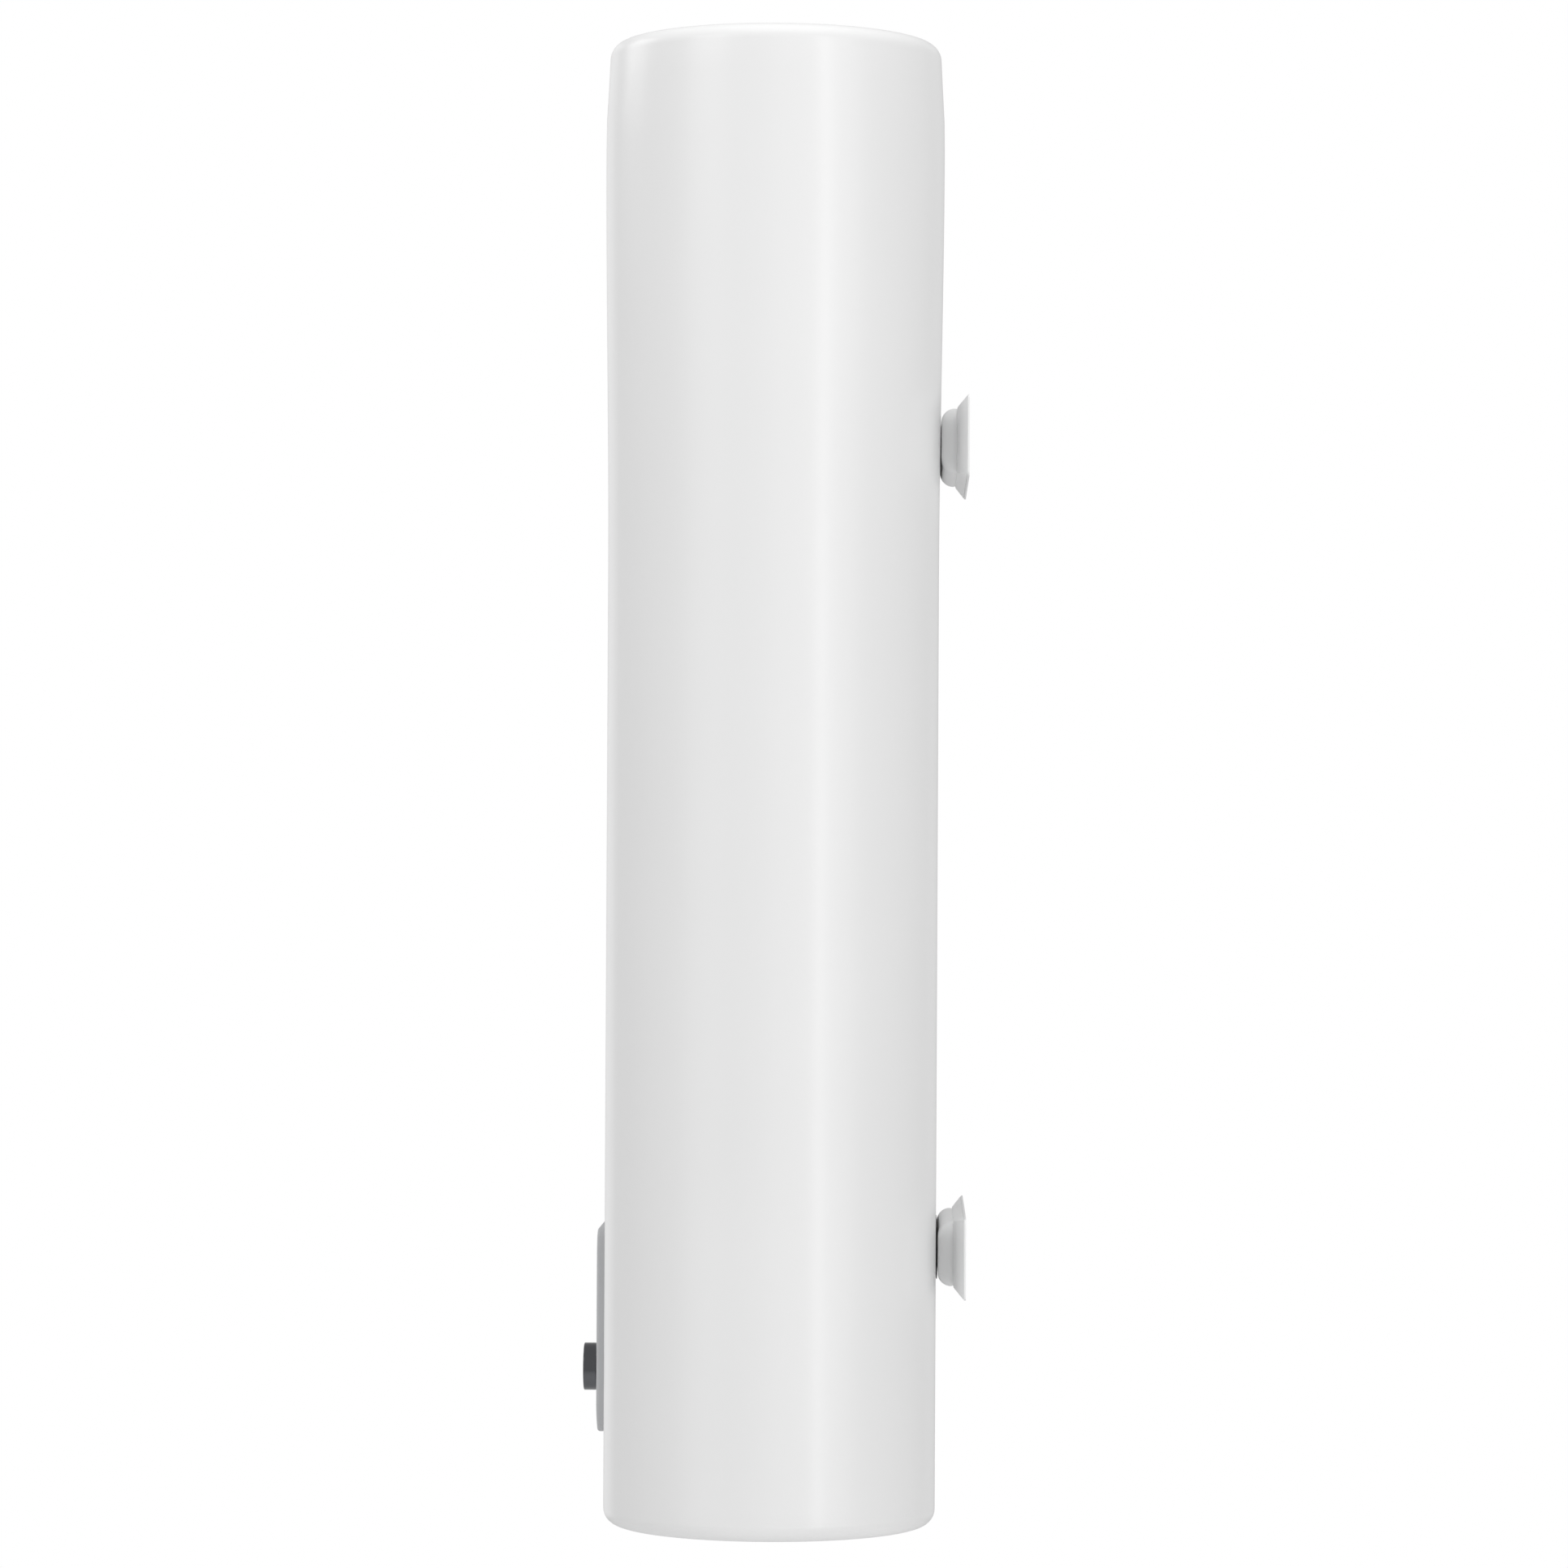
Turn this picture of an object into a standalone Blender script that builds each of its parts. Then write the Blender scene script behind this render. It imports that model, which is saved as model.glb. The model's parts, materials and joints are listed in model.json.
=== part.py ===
"""Flat wall-hung electric storage water heater with two tanks.

X is the width, Y the depth (the wall is the plane Y = 0, the front faces -Y), Z is up.
The origin is the middle of the upper wall bracket's top edge, on the face that meets the wall.
All sizes are in metres.
"""

import math

import bmesh
import bpy

GAP = 0.0003  # left between touching pieces

# jacket
BODY_WIDTH = 0.434
BODY_DEPTH = 0.2548
BODY_HEIGHT = 1.138
EDGE_RADIUS = 0.012
JACKET_SHEET = 0.0008
TOP_LIP = 0.010
BOTTOM_LIP = 0.003
FOAM_ROOF = 0.020
FOAM_SIDE = 0.0135  # jacket and foam beside the tanks
FOAM_FRONT = 0.026  # least jacket and foam in front of the tanks and behind them

# wall brackets
UPPER_BRACKET_DROP = 0.304  # body top down to the upper bracket's middle
LOWER_BRACKET_RISE = 0.207  # body bottom up to the lower bracket's middle
BRACKET_DEPTH = 0.0212
BRACKET_SHEET = 0.0015
PAN_LENGTH = 0.182
PAN_HEIGHT = 0.050
PAN_RADIUS = 0.0105
PAN_CORNER = 0.0115
RIM_LENGTH = 0.292
RIM_HEIGHT = 0.062
RIM_CORNER = 0.004
FLARE_DEPTH = 0.0085
LIP_DEPTH = 0.0012
HOOK_SLOT_WIDTH = 0.011
HOOK_SLOT_PITCH = 0.044
HOOK_SLOT_START = 0.006  # above the pan's base
HOOK_SLOT_DEPTH = 0.0075
PAD_THICKNESS = 0.0008
PAD_LENGTH = 0.150
PAD_HEIGHT = 0.040
PAD_CORNER = 0.004
MOUNT_BOLT_RADIUS = 0.004
MOUNT_BOLT_SPREAD = 0.060
MOUNT_BOLT_HEAD = 0.0075
ANCHOR_PLATE = 0.005
ANCHOR_HEIGHT = 0.040
ANCHOR_LEG = 0.014

# tanks and pipes
TANK_WALL = 0.0018
TANK_SPLIT = 0.003  # between the two tanks
DOME_HEIGHT = 0.034
NECK_RADIUS = 0.031
NECK_LENGTH = 0.014
NECK_ABOVE_CAP = 0.024
LINK_RADIUS = 0.009
LINK_BEND = 0.028
PIPE_RADIUS = 0.0105
PIPE_WALL = 0.0022
PIPE_INSET = 0.023  # tank wall in to the pipe's axis
PIPE_END_RISE = 0.008
COLLAR_RADIUS = 0.0150
COLLAR_HEIGHT = 0.004

# flanges and what they carry
FLANGE_RADIUS = 0.045
FLANGE_PLATE = 0.005
WELD_RING_HEIGHT = 0.006
GASKET_HEIGHT = 0.003
FLANGE_BOLT_RADIUS = 0.003
FLANGE_BOLT_CIRCLE = 0.0385
FLANGE_BOLT_HEAD = 0.005
ELEMENT_RADIUS = 0.00425
ELEMENT_HALF_PITCH = 0.014
ELEMENT_HEIGHT = 0.280
ANODE_RADIUS = 0.010
ANODE_LENGTH = 0.300
ANODE_OFFSET = -0.015
STUD_RADIUS = 0.003
WELL_RADIUS = 0.0045
WELL_WALL = 0.001
WELL_LENGTH = 0.250
WELL_OFFSET = 0.016

# bottom cap and service cover
RECESS_DEPTH = 0.040
CAP_SHEET = 0.0012
CAP_CORNER = 0.006
FLANGE_OPENING = 0.048
COVER_PAST_OPENING = 0.0055
COVER_TO_COLLAR = 0.003
COVER_DEPTH = 0.0243
COVER_WALL = 0.002
COVER_FLANGE = 0.008
COVER_SCREW_RADIUS = 0.0018
COVER_SCREW_INSET = 0.016
CUTOUT_LENGTH = 0.044
CUTOUT_WIDTH = 0.030
CUTOUT_HEIGHT = 0.016
CUTOUT_TO_COVER = 0.011
BUTTON_RADIUS = 0.004
BUTTON_TRAVEL = 0.0025
BUTTON_SINK = 0.0007
TERMINAL_LENGTH = 0.040
TERMINAL_WIDTH = 0.016
TERMINAL_HEIGHT = 0.014
TERMINAL_TO_COVER = 0.020
GLAND_RADIUS = 0.0095
GLAND_BORE = 0.0045
GLAND_DROP = 0.016

# control panel and knob
PANEL_WIDTH = 0.110
PANEL_HEIGHT = 0.1592
PANEL_RISE = 0.064  # body bottom up to the panel's lower edge
PANEL_CORNER = 0.008
PANEL_LOW_CORNER = 0.018
PANEL_SIDE = 0.0075
PANEL_CROWN = 0.0025
PANEL_WALL = 0.002
PANEL_EDGE = 0.002
HOUSING_WIDTH = 0.094
HOUSING_HEIGHT = 0.1362
HOUSING_DEPTH = 0.026
HOUSING_CORNER = 0.008
WINDOW_WIDTH = 0.064
WINDOW_HEIGHT = 0.040
WINDOW_RISE = 0.0301  # panel middle up to the window's middle
WINDOW_THICKNESS = 0.003
LENS_RADIUS = 0.0025
LENS_SPREAD = 0.030
LENS_RISE = -0.0059
BOARD_THICKNESS = 0.0016
BOARD_MARGIN = 0.003
KNOB_RISE = 0.111  # body bottom up to the knob's axis
KNOB_RADIUS = 0.0185
KNOB_LENGTH = 0.0100
KNOB_GAP = 0.0006
KNOB_DOME = 0.0011
RING_WALL = 0.0028
KNOB_OFF = math.radians(45)  # the pointer's angle from straight down when off
SHAFT_RADIUS = 0.003
ENCODER_SIZE = 0.014
ENCODER_HEIGHT = 0.007

ROUND_STEPS = 20
BODY_STEPS = 10  # sides of each quarter of the body's outline

# places worked out from the sizes above
BODY_BACK_Y = -(BRACKET_DEPTH + GAP + PAD_THICKNESS + GAP)
BODY_Y = BODY_BACK_Y - BODY_DEPTH / 2
BODY_FRONT_Y = BODY_BACK_Y - BODY_DEPTH
UPPER_BRACKET_Z = BRACKET_SHEET / 2 - RIM_HEIGHT / 2
BODY_TOP_Z = UPPER_BRACKET_Z + UPPER_BRACKET_DROP
BODY_BOTTOM_Z = BODY_TOP_Z - BODY_HEIGHT
LOWER_BRACKET_Z = BODY_BOTTOM_Z + LOWER_BRACKET_RISE
TANK_RADIUS = min(
    (BODY_WIDTH / 2 - FOAM_SIDE - TANK_SPLIT / 2) / 2,
    BODY_DEPTH / 2 - FOAM_FRONT,
)
TANK_X = TANK_RADIUS + TANK_SPLIT / 2
ANCHOR_HALF = BODY_WIDTH / 2 - BODY_DEPTH / 2 - 2 * GAP  # the back's flat ends there
CAP_Z = BODY_BOTTOM_Z + RECESS_DEPTH
NECK_Z = CAP_Z + NECK_ABOVE_CAP
PLATE_TOP_Z = NECK_Z - GAP - GASKET_HEIGHT - GAP
PLATE_BOTTOM_Z = PLATE_TOP_Z - FLANGE_PLATE
LINK_NECK = LINK_RADIUS + GAP + TANK_WALL
LINK_NECK_LENGTH = 0.010
CEILING_Z = BODY_TOP_Z - JACKET_SHEET - GAP - FOAM_ROOF
TANK_TOP_Z = CEILING_Z - 0.004 - LINK_RADIUS - LINK_BEND - LINK_NECK_LENGTH
PANEL_Z = BODY_BOTTOM_Z + PANEL_RISE + PANEL_HEIGHT / 2
KNOB_Z = BODY_BOTTOM_Z + KNOB_RISE
PIPE_OFFSET = TANK_RADIUS - PIPE_INSET
PIPE_Y = BODY_Y + PIPE_OFFSET
PIPE_END_Z = BODY_BOTTOM_Z + PIPE_END_RISE
COVER_HALF_LENGTH = TANK_X + FLANGE_OPENING + COVER_PAST_OPENING
COVER_HALF_WIDTH = PIPE_OFFSET - COLLAR_RADIUS - COVER_FLANGE - COVER_TO_COLLAR
COVER_SCREW_X = COVER_HALF_LENGTH - COVER_SCREW_INSET
CUTOUT_OFFSET = -(COVER_HALF_WIDTH - CUTOUT_WIDTH / 2 - CUTOUT_TO_COVER)
TERMINAL_OFFSET = COVER_HALF_WIDTH - TERMINAL_WIDTH / 2 - TERMINAL_TO_COVER
FACING_WALL = (-math.pi / 2, 0, 0)  # turns local +Z to face the wall
FACING_FRONT = (math.pi / 2, 0, 0)  # turns local +Z to face the room

for old in list(bpy.data.objects):
    bpy.data.objects.remove(old, do_unlink=True)

heater = bpy.data.collections.new("tank_water_heater")
cutters = bpy.data.collections.new("cutters")
bpy.context.scene.collection.children.link(heater)
bpy.context.scene.collection.children.link(cutters)


# ------------------------------------------------------------ helpers


def material(name, colour, roughness, metallic=0.0):
    made = bpy.data.materials.new(name)
    made.use_nodes = True
    shader = made.node_tree.nodes["Principled BSDF"]
    shader.inputs["Base Color"].default_value = (*colour, 1.0)
    shader.inputs["Roughness"].default_value = roughness
    shader.inputs["Metallic"].default_value = metallic
    return made


WHITE_ENAMEL = material("white_enamel", (0.86, 0.86, 0.86), 0.35)
BRACKET_PAINT = material("grey_paint", (0.62, 0.62, 0.62), 0.45)
WHITE_PLASTIC = material("white_plastic", (0.82, 0.82, 0.81), 0.40)
GREY_PLASTIC = material("grey_plastic", (0.42, 0.42, 0.43), 0.50)
DARK_PLASTIC = material("dark_plastic", (0.02, 0.02, 0.02), 0.15)
BLACK_RUBBER = material("black_rubber", (0.02, 0.02, 0.02), 0.80)
CHROME = material("chrome", (0.75, 0.75, 0.76), 0.10, 1.0)
STEEL = material("zinc_steel", (0.60, 0.60, 0.60), 0.35, 1.0)
COPPER = material("copper", (0.80, 0.45, 0.30), 0.30, 1.0)
MAGNESIUM = material("magnesium", (0.55, 0.55, 0.55), 0.55, 1.0)
TANK_ENAMEL = material("tank_enamel", (0.05, 0.10, 0.22), 0.25)
FOAM = material("foam", (0.85, 0.72, 0.40), 0.95)
RED_PLASTIC = material("red_plastic", (0.60, 0.03, 0.03), 0.40)
BLUE_PLASTIC = material("blue_plastic", (0.03, 0.12, 0.60), 0.40)
BOARD_GREEN = material("board_green", (0.02, 0.20, 0.08), 0.40)


def add_object(name, data, look, place=(0, 0, 0), turn=(0, 0, 0)):
    made = bpy.data.objects.new(name, data)
    made.location = place
    made.rotation_euler = turn
    heater.objects.link(made)
    data.materials.append(look)
    return made


def mesh_from(name, make):
    """A mesh filled in by make(bm)."""
    bm = bmesh.new()
    make(bm)
    mesh = bpy.data.meshes.new(name)
    bm.to_mesh(mesh)
    bm.free()
    mesh.shade_smooth()
    mesh.set_sharp_from_angle(angle=math.radians(35))
    return mesh


def outline(half_x, half_y, radius, steps, low_radius=None):
    """Counter-clockwise rounded rectangle; it is a stadium where radius equals half_y.

    low_radius is the radius of the two corners at -Y, where it differs.
    """
    points = []
    corners = ((1, 1), (-1, 1), (-1, -1), (1, -1))
    for turn, (side_x, side_y) in enumerate(corners):
        bend = radius if side_y > 0 or low_radius is None else low_radius
        for step in range(steps + 1):
            angle = math.pi / 2 * (turn + step / steps)
            x = side_x * (half_x - bend) + bend * math.cos(angle)
            y = side_y * (half_y - bend) + bend * math.sin(angle)
            if not points or math.dist(points[-1], (x, y)) > 1e-6:
                points.append((x, y))
    if math.dist(points[-1], points[0]) < 1e-6:
        points.pop()
    return points


def body_outline(inset):
    radius = BODY_DEPTH / 2 - inset
    return outline(BODY_WIDTH / 2 - inset, radius, radius, BODY_STEPS)


def circle(radius, centre=(0, 0), steps=16):
    turns = [2 * math.pi * step / steps for step in range(steps)]
    return [(centre[0] + radius * math.cos(a), centre[1] + radius * math.sin(a)) for a in turns]


def hole(radius, centre=(0, 0), steps=16):
    """Outline that a round piece of this radius just passes through, with the usual gap."""
    return circle((radius + GAP) / math.cos(math.pi / steps), centre, steps)


def loft(name, rings, cap_low=False, cap_high=False, inside_out=False):
    """Mesh through rising rings of (outline, height), with its faces looking outwards."""

    def make(bm):
        rows = [[bm.verts.new((x, y, z)) for x, y in points] for points, z in rings]
        for low, high in zip(rows, rows[1:]):
            for i in range(len(low)):
                j = (i + 1) % len(low)
                bm.faces.new((low[i], low[j], high[j], high[i]))
        if cap_low:
            bm.faces.new(list(reversed(rows[0])))
        if cap_high:
            bm.faces.new(rows[-1])
        if inside_out:
            bmesh.ops.reverse_faces(bm, faces=bm.faces)

    return mesh_from(name, make)


def sheet_piece(name, mesh, look, thickness, place, turn=(0, 0, 0)):
    """Open surface given a wall on its back."""
    made = add_object(name, mesh, look, place, turn)
    wall = made.modifiers.new("wall", "SOLIDIFY")
    wall.thickness = thickness
    wall.offset = -1
    wall.use_even_offset = True
    return made


def plate(name, loops, thickness, look, place=(0, 0, 0), turn=(0, 0, 0)):
    """Flat piece from closed outlines, the first the edge and the others holes.

    place is the middle of the face that it starts from, and it grows along local +Z.
    """
    curve = bpy.data.curves.new(name, "CURVE")
    curve.dimensions = "2D"
    curve.fill_mode = "BOTH"
    curve.extrude = thickness / 2
    for points in loops:
        spline = curve.splines.new("POLY")
        spline.points.add(len(points) - 1)
        for point, (x, y) in zip(spline.points, points):
            point.co = (x, y, 0, 1)
        spline.use_cyclic_u = True
    flat = add_object(name, curve, look, place, turn)
    if turn == (0, 0, 0):
        flat.location.z += thickness / 2
    elif turn == FACING_WALL:
        flat.location.y += thickness / 2
    else:
        flat.location.y -= thickness / 2
    return as_mesh(flat)


def as_mesh(curve_object):
    """The same piece as a welded mesh, so that it can be cut."""
    bpy.context.view_layer.update()
    graph = bpy.context.evaluated_depsgraph_get()
    mesh = bpy.data.meshes.new_from_object(curve_object.evaluated_get(graph))
    bm = bmesh.new()
    bm.from_mesh(mesh)
    bmesh.ops.remove_doubles(bm, verts=bm.verts, dist=1e-6)
    bm.to_mesh(mesh)
    bm.free()
    name, place = curve_object.name, curve_object.matrix_world.copy()
    look = curve_object.data.materials[0]
    bpy.data.objects.remove(curve_object, do_unlink=True)
    mesh.materials.clear()
    made = add_object(name, mesh, look)
    made.matrix_world = place
    mesh.shade_smooth()
    mesh.set_sharp_from_angle(angle=math.radians(35))
    return made


def lathe(name, profile, look, place=(0, 0, 0), turn=(0, 0, 0), steps=ROUND_STEPS, closed=False):
    """Turned piece: (radius, height) points that run down the outer side."""
    mesh = bpy.data.meshes.new(name)
    edges = [(i, i + 1) for i in range(len(profile) - 1)]
    if closed:
        edges.append((len(profile) - 1, 0))
    mesh.from_pydata([(r, 0, z) for r, z in profile], edges, [])
    made = add_object(name, mesh, look, place, turn)
    screw = made.modifiers.new("turned", "SCREW")
    screw.axis = "Z"
    screw.steps = steps
    screw.render_steps = steps
    screw.use_merge_vertices = True
    screw.merge_threshold = 0.00005
    screw.use_smooth_shade = True
    return made


def tube(name, points, radius, look, wall=None):
    """Round tube along points; a wall makes it hollow."""
    curve = bpy.data.curves.new(name, "CURVE")
    curve.dimensions = "3D"
    curve.bevel_depth = radius
    curve.bevel_resolution = 2
    curve.use_fill_caps = wall is None
    spline = curve.splines.new("POLY")
    spline.points.add(len(points) - 1)
    for point, where in zip(spline.points, points):
        point.co = (*where, 1)
    made = as_mesh(add_object(name, curve, look))
    if wall is not None:
        thick = made.modifiers.new("wall", "SOLIDIFY")
        thick.thickness = wall
        thick.offset = -1
    return made


def block(name, size, look, place, bevel=0.0):
    """Box of the given size about its middle, with rounded edges where a bevel is given."""

    def make(bm):
        bmesh.ops.create_cube(bm, size=1.0)
        bmesh.ops.scale(bm, vec=size, verts=bm.verts)

    made = add_object(name, mesh_from(name, make), look, place)
    if bevel:
        rounded = made.modifiers.new("edges", "BEVEL")
        rounded.width = bevel
        rounded.segments = 1
    return made


def cut(target, name, mesh, place, turn=(0, 0, 0)):
    """Takes a cutter's shape out of the target."""
    tool = bpy.data.objects.new(name, mesh)
    tool.location = place
    tool.rotation_euler = turn
    tool.display_type = "WIRE"
    tool.hide_render = True
    cutters.objects.link(tool)
    taken = target.modifiers.new(name, "BOOLEAN")
    taken.operation = "DIFFERENCE"
    taken.solver = "EXACT"
    taken.object = tool


def round_cutter(radius, length, steps=16):
    def make(bm):
        bmesh.ops.create_cone(
            bm, cap_ends=True, segments=steps, radius1=radius, radius2=radius, depth=length
        )

    return mesh_from("round_cutter", make)


def box_cutter(size):
    def make(bm):
        bmesh.ops.create_cube(bm, size=1.0)
        bmesh.ops.scale(bm, vec=size, verts=bm.verts)

    return mesh_from("box_cutter", make)


def bolt(name, head_radius, head_height, shank_radius, shank_length, look, place, turn=(0, 0, 0)):
    """Hexagon head from the place along local -Z, with the shank along local +Z."""

    def head(bm):
        bmesh.ops.create_cone(
            bm, cap_ends=True, segments=6, radius1=head_radius, radius2=head_radius,
            depth=head_height,
        )
        bmesh.ops.translate(bm, vec=(0, 0, -head_height / 2), verts=bm.verts)

    def shank(bm):
        sunk = head_height / 2
        bmesh.ops.create_cone(
            bm, cap_ends=True, segments=10, radius1=shank_radius, radius2=shank_radius,
            depth=shank_length + sunk,
        )
        bmesh.ops.translate(bm, vec=(0, 0, (shank_length - sunk) / 2), verts=bm.verts)

    made = add_object(name, mesh_from(name, head), look, place, turn)
    tool = bpy.data.objects.new(name + "_shank", mesh_from(name + "_shank", shank))
    tool.location = place
    tool.rotation_euler = turn
    tool.display_type = "WIRE"
    tool.hide_render = True
    cutters.objects.link(tool)
    joined = made.modifiers.new("shank", "BOOLEAN")
    joined.operation = "UNION"
    joined.solver = "EXACT"
    joined.object = tool
    return made


def quarter(radius, steps):
    """(run, rise) pairs along a quarter round that starts flat and ends upright."""
    angles = [math.pi / 2 * step / steps for step in range(steps + 1)]
    return [(radius * math.sin(a), radius * (1 - math.cos(a))) for a in angles]


# ------------------------------------------------------------ jacket


def build_jacket():
    body_place = (0, BODY_Y, BODY_BOTTOM_Z)
    round_edge = quarter(EDGE_RADIUS, 3)
    rings = [(body_outline(EDGE_RADIUS + BOTTOM_LIP), 0.0)]
    rings += [(body_outline(EDGE_RADIUS - run), rise) for run, rise in round_edge]
    rings += [
        (body_outline(EDGE_RADIUS - run), BODY_HEIGHT - rise) for run, rise in reversed(round_edge)
    ]
    rings.append((body_outline(EDGE_RADIUS + TOP_LIP), BODY_HEIGHT))
    surface = loft("jacket", rings)
    jacket = sheet_piece("jacket", surface, WHITE_ENAMEL, JACKET_SHEET, body_place)
    size = (HOUSING_WIDTH + 4 * GAP, 0.03, HOUSING_HEIGHT + 4 * GAP)
    cut(jacket, "panel_cutout", box_cutter(size), (0, BODY_FRONT_Y, PANEL_Z))

    top_outline = body_outline(EDGE_RADIUS + TOP_LIP + GAP)
    top_place = (0, BODY_Y, BODY_TOP_Z - JACKET_SHEET)
    plate("top_cover", [top_outline], JACKET_SHEET, WHITE_ENAMEL, top_place)

    foam_bottom = CAP_Z + CAP_SHEET + GAP
    inset = JACKET_SHEET + GAP
    shoulder = BODY_TOP_Z - EDGE_RADIUS - foam_bottom
    rings = [(body_outline(inset), 0.0)]
    rings += [
        (body_outline(inset + EDGE_RADIUS - run), shoulder + EDGE_RADIUS - inset - rise)
        for run, rise in reversed(round_edge)
    ]
    solid = loft("foam_jacket", rings, cap_low=True, cap_high=True)
    foam = add_object("foam_jacket", solid, FOAM, (0, BODY_Y, foam_bottom))
    void_depth = TANK_RADIUS + 0.0008
    void = outline(TANK_X + void_depth, void_depth, void_depth, 8)
    below = 0.02
    hollow = loft("foam_void", [(void, -below), (void, CEILING_Z - foam_bottom)], True, True)
    cut(foam, "foam_void", hollow, (0, BODY_Y, foam_bottom))
    front_size = (HOUSING_WIDTH + 4 * GAP, 2 * HOUSING_DEPTH + 8 * GAP, HOUSING_HEIGHT + 4 * GAP)
    cut(foam, "housing_room", box_cutter(front_size), (0, BODY_FRONT_Y, PANEL_Z))
    anchor_size = (2 * ANCHOR_HALF + 4 * GAP, 0.08, ANCHOR_HEIGHT + 4 * GAP)
    for name, z in (("upper", UPPER_BRACKET_Z), ("lower", LOWER_BRACKET_Z)):
        cut(foam, name + "_anchor_room", box_cutter(anchor_size), (0, BODY_BACK_Y, z))
    return jacket


# ------------------------------------------------------------ wall brackets


def tank_back(x):
    """Depth, from the tanks' axes, at which a piece behind them clears them."""
    return math.sqrt(TANK_RADIUS**2 - (TANK_X - x) ** 2) + 2 * GAP


def build_bracket(name, z, jacket, hooked):
    """Pressed pan with its base on the jacket and a flared rim on the wall.

    The hooked one has four slots in its upper side for the wall plate's hooks.
    """
    half_x, half_y = PAN_LENGTH / 2, PAN_HEIGHT / 2
    wall_start = BRACKET_DEPTH - FLARE_DEPTH - LIP_DEPTH
    rings = []
    for run, rise in quarter(PAN_RADIUS, 3):
        inset = PAN_RADIUS - run
        rings.append((outline(half_x - inset, half_y - inset, PAN_CORNER - inset, 3), rise))
    rings.append((outline(half_x, half_y, PAN_CORNER, 3), wall_start))
    rim = outline(RIM_LENGTH / 2, RIM_HEIGHT / 2, RIM_CORNER, 3)
    rings.append((rim, BRACKET_DEPTH - LIP_DEPTH))
    rings.append((rim, BRACKET_DEPTH))

    surface = loft(name, rings, cap_low=True)
    place = (0, -BRACKET_DEPTH, z)
    bracket = sheet_piece(name, surface, BRACKET_PAINT, BRACKET_SHEET, place, FACING_WALL)
    if hooked:
        slot_size = (HOOK_SLOT_WIDTH, HOOK_SLOT_DEPTH, 0.02)
        for index in range(4):
            x = (index - 1.5) * HOOK_SLOT_PITCH
            y = -BRACKET_DEPTH + HOOK_SLOT_START + HOOK_SLOT_DEPTH / 2
            cut(bracket, f"{name}_slot_{index + 1}", box_cutter(slot_size), (x, y, z + half_y))

    side = name.split("_")[0]
    pad_place = (0, BODY_BACK_Y + GAP, z)
    holes = [hole(MOUNT_BOLT_RADIUS, (s * MOUNT_BOLT_SPREAD, 0)) for s in (-1, 1)]
    pad_outline = outline(PAD_LENGTH / 2, PAD_HEIGHT / 2, PAD_CORNER, 3)
    plate(side + "_pad", [pad_outline, *holes], PAD_THICKNESS, BLACK_RUBBER, pad_place, FACING_WALL)

    plate_y = BODY_BACK_Y - JACKET_SHEET - GAP
    far, near = ANCHOR_HALF, ANCHOR_HALF - ANCHOR_LEG
    far_reach, near_reach = (plate_y - BODY_Y - tank_back(x) for x in (far, near))
    shape = [
        (-far, 0), (-far, -far_reach), (-near, -near_reach), (-near, -ANCHOR_PLATE),
        (near, -ANCHOR_PLATE), (near, -near_reach), (far, -far_reach), (far, 0),
    ]
    anchor = plate(side + "_anchor", [shape], ANCHOR_HEIGHT, STEEL,
                   (0, plate_y, z - ANCHOR_HEIGHT / 2))
    for s, end in ((-1, "left"), (1, "right")):
        x = s * MOUNT_BOLT_SPREAD
        for target in (bracket, jacket, anchor):
            drill = round_cutter(MOUNT_BOLT_RADIUS + GAP, 0.08)
            cut(target, f"{target.name}_{side}_{end}_hole", drill, (x, BODY_BACK_Y, z), FACING_WALL)
        seat_y = -BRACKET_DEPTH + BRACKET_SHEET + GAP
        shank = seat_y - (plate_y - ANCHOR_PLATE) + 0.003
        bolt(f"{side}_{end}_mount_bolt", MOUNT_BOLT_HEAD, 0.0053, MOUNT_BOLT_RADIUS, shank, STEEL,
             (x, seat_y, z), FACING_FRONT)


# ------------------------------------------------------------ tanks and pipes


def build_tank(name, x):
    bottom = NECK_Z
    drop = DOME_HEIGHT * math.sqrt(1 - (NECK_RADIUS / TANK_RADIUS) ** 2)
    low = bottom + NECK_LENGTH + drop
    rise = DOME_HEIGHT * math.sqrt(1 - (LINK_NECK / TANK_RADIUS) ** 2)
    high = TANK_TOP_Z - rise
    steps = 5
    profile = [(LINK_NECK, TANK_TOP_Z + LINK_NECK_LENGTH)]
    start = math.asin(LINK_NECK / TANK_RADIUS)
    for step in range(steps + 1):
        a = start + (math.pi / 2 - start) * step / steps
        profile.append((TANK_RADIUS * math.sin(a), high + DOME_HEIGHT * math.cos(a)))
    start = math.asin(NECK_RADIUS / TANK_RADIUS)
    for step in range(steps + 1):
        a = math.pi / 2 - (math.pi / 2 - start) * step / steps
        profile.append((TANK_RADIUS * math.sin(a), low - DOME_HEIGHT * math.cos(a)))
    profile.append((NECK_RADIUS, bottom))
    profile = [(r, z - bottom) for r, z in profile]
    tank = lathe(name, profile, TANK_ENAMEL, (x, BODY_Y, bottom))
    wall = tank.modifiers.new("wall", "SOLIDIFY")
    wall.thickness = TANK_WALL
    wall.offset = -1
    drill = round_cutter(PIPE_RADIUS + GAP, 0.10)
    cut(tank, name + "_pipe_hole", drill, (x, PIPE_Y, bottom + NECK_LENGTH))


def pipe_profile(radius, wall, top, bottom):
    return [(radius, top), (radius, bottom), (radius - wall, bottom), (radius - wall, top)]


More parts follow.
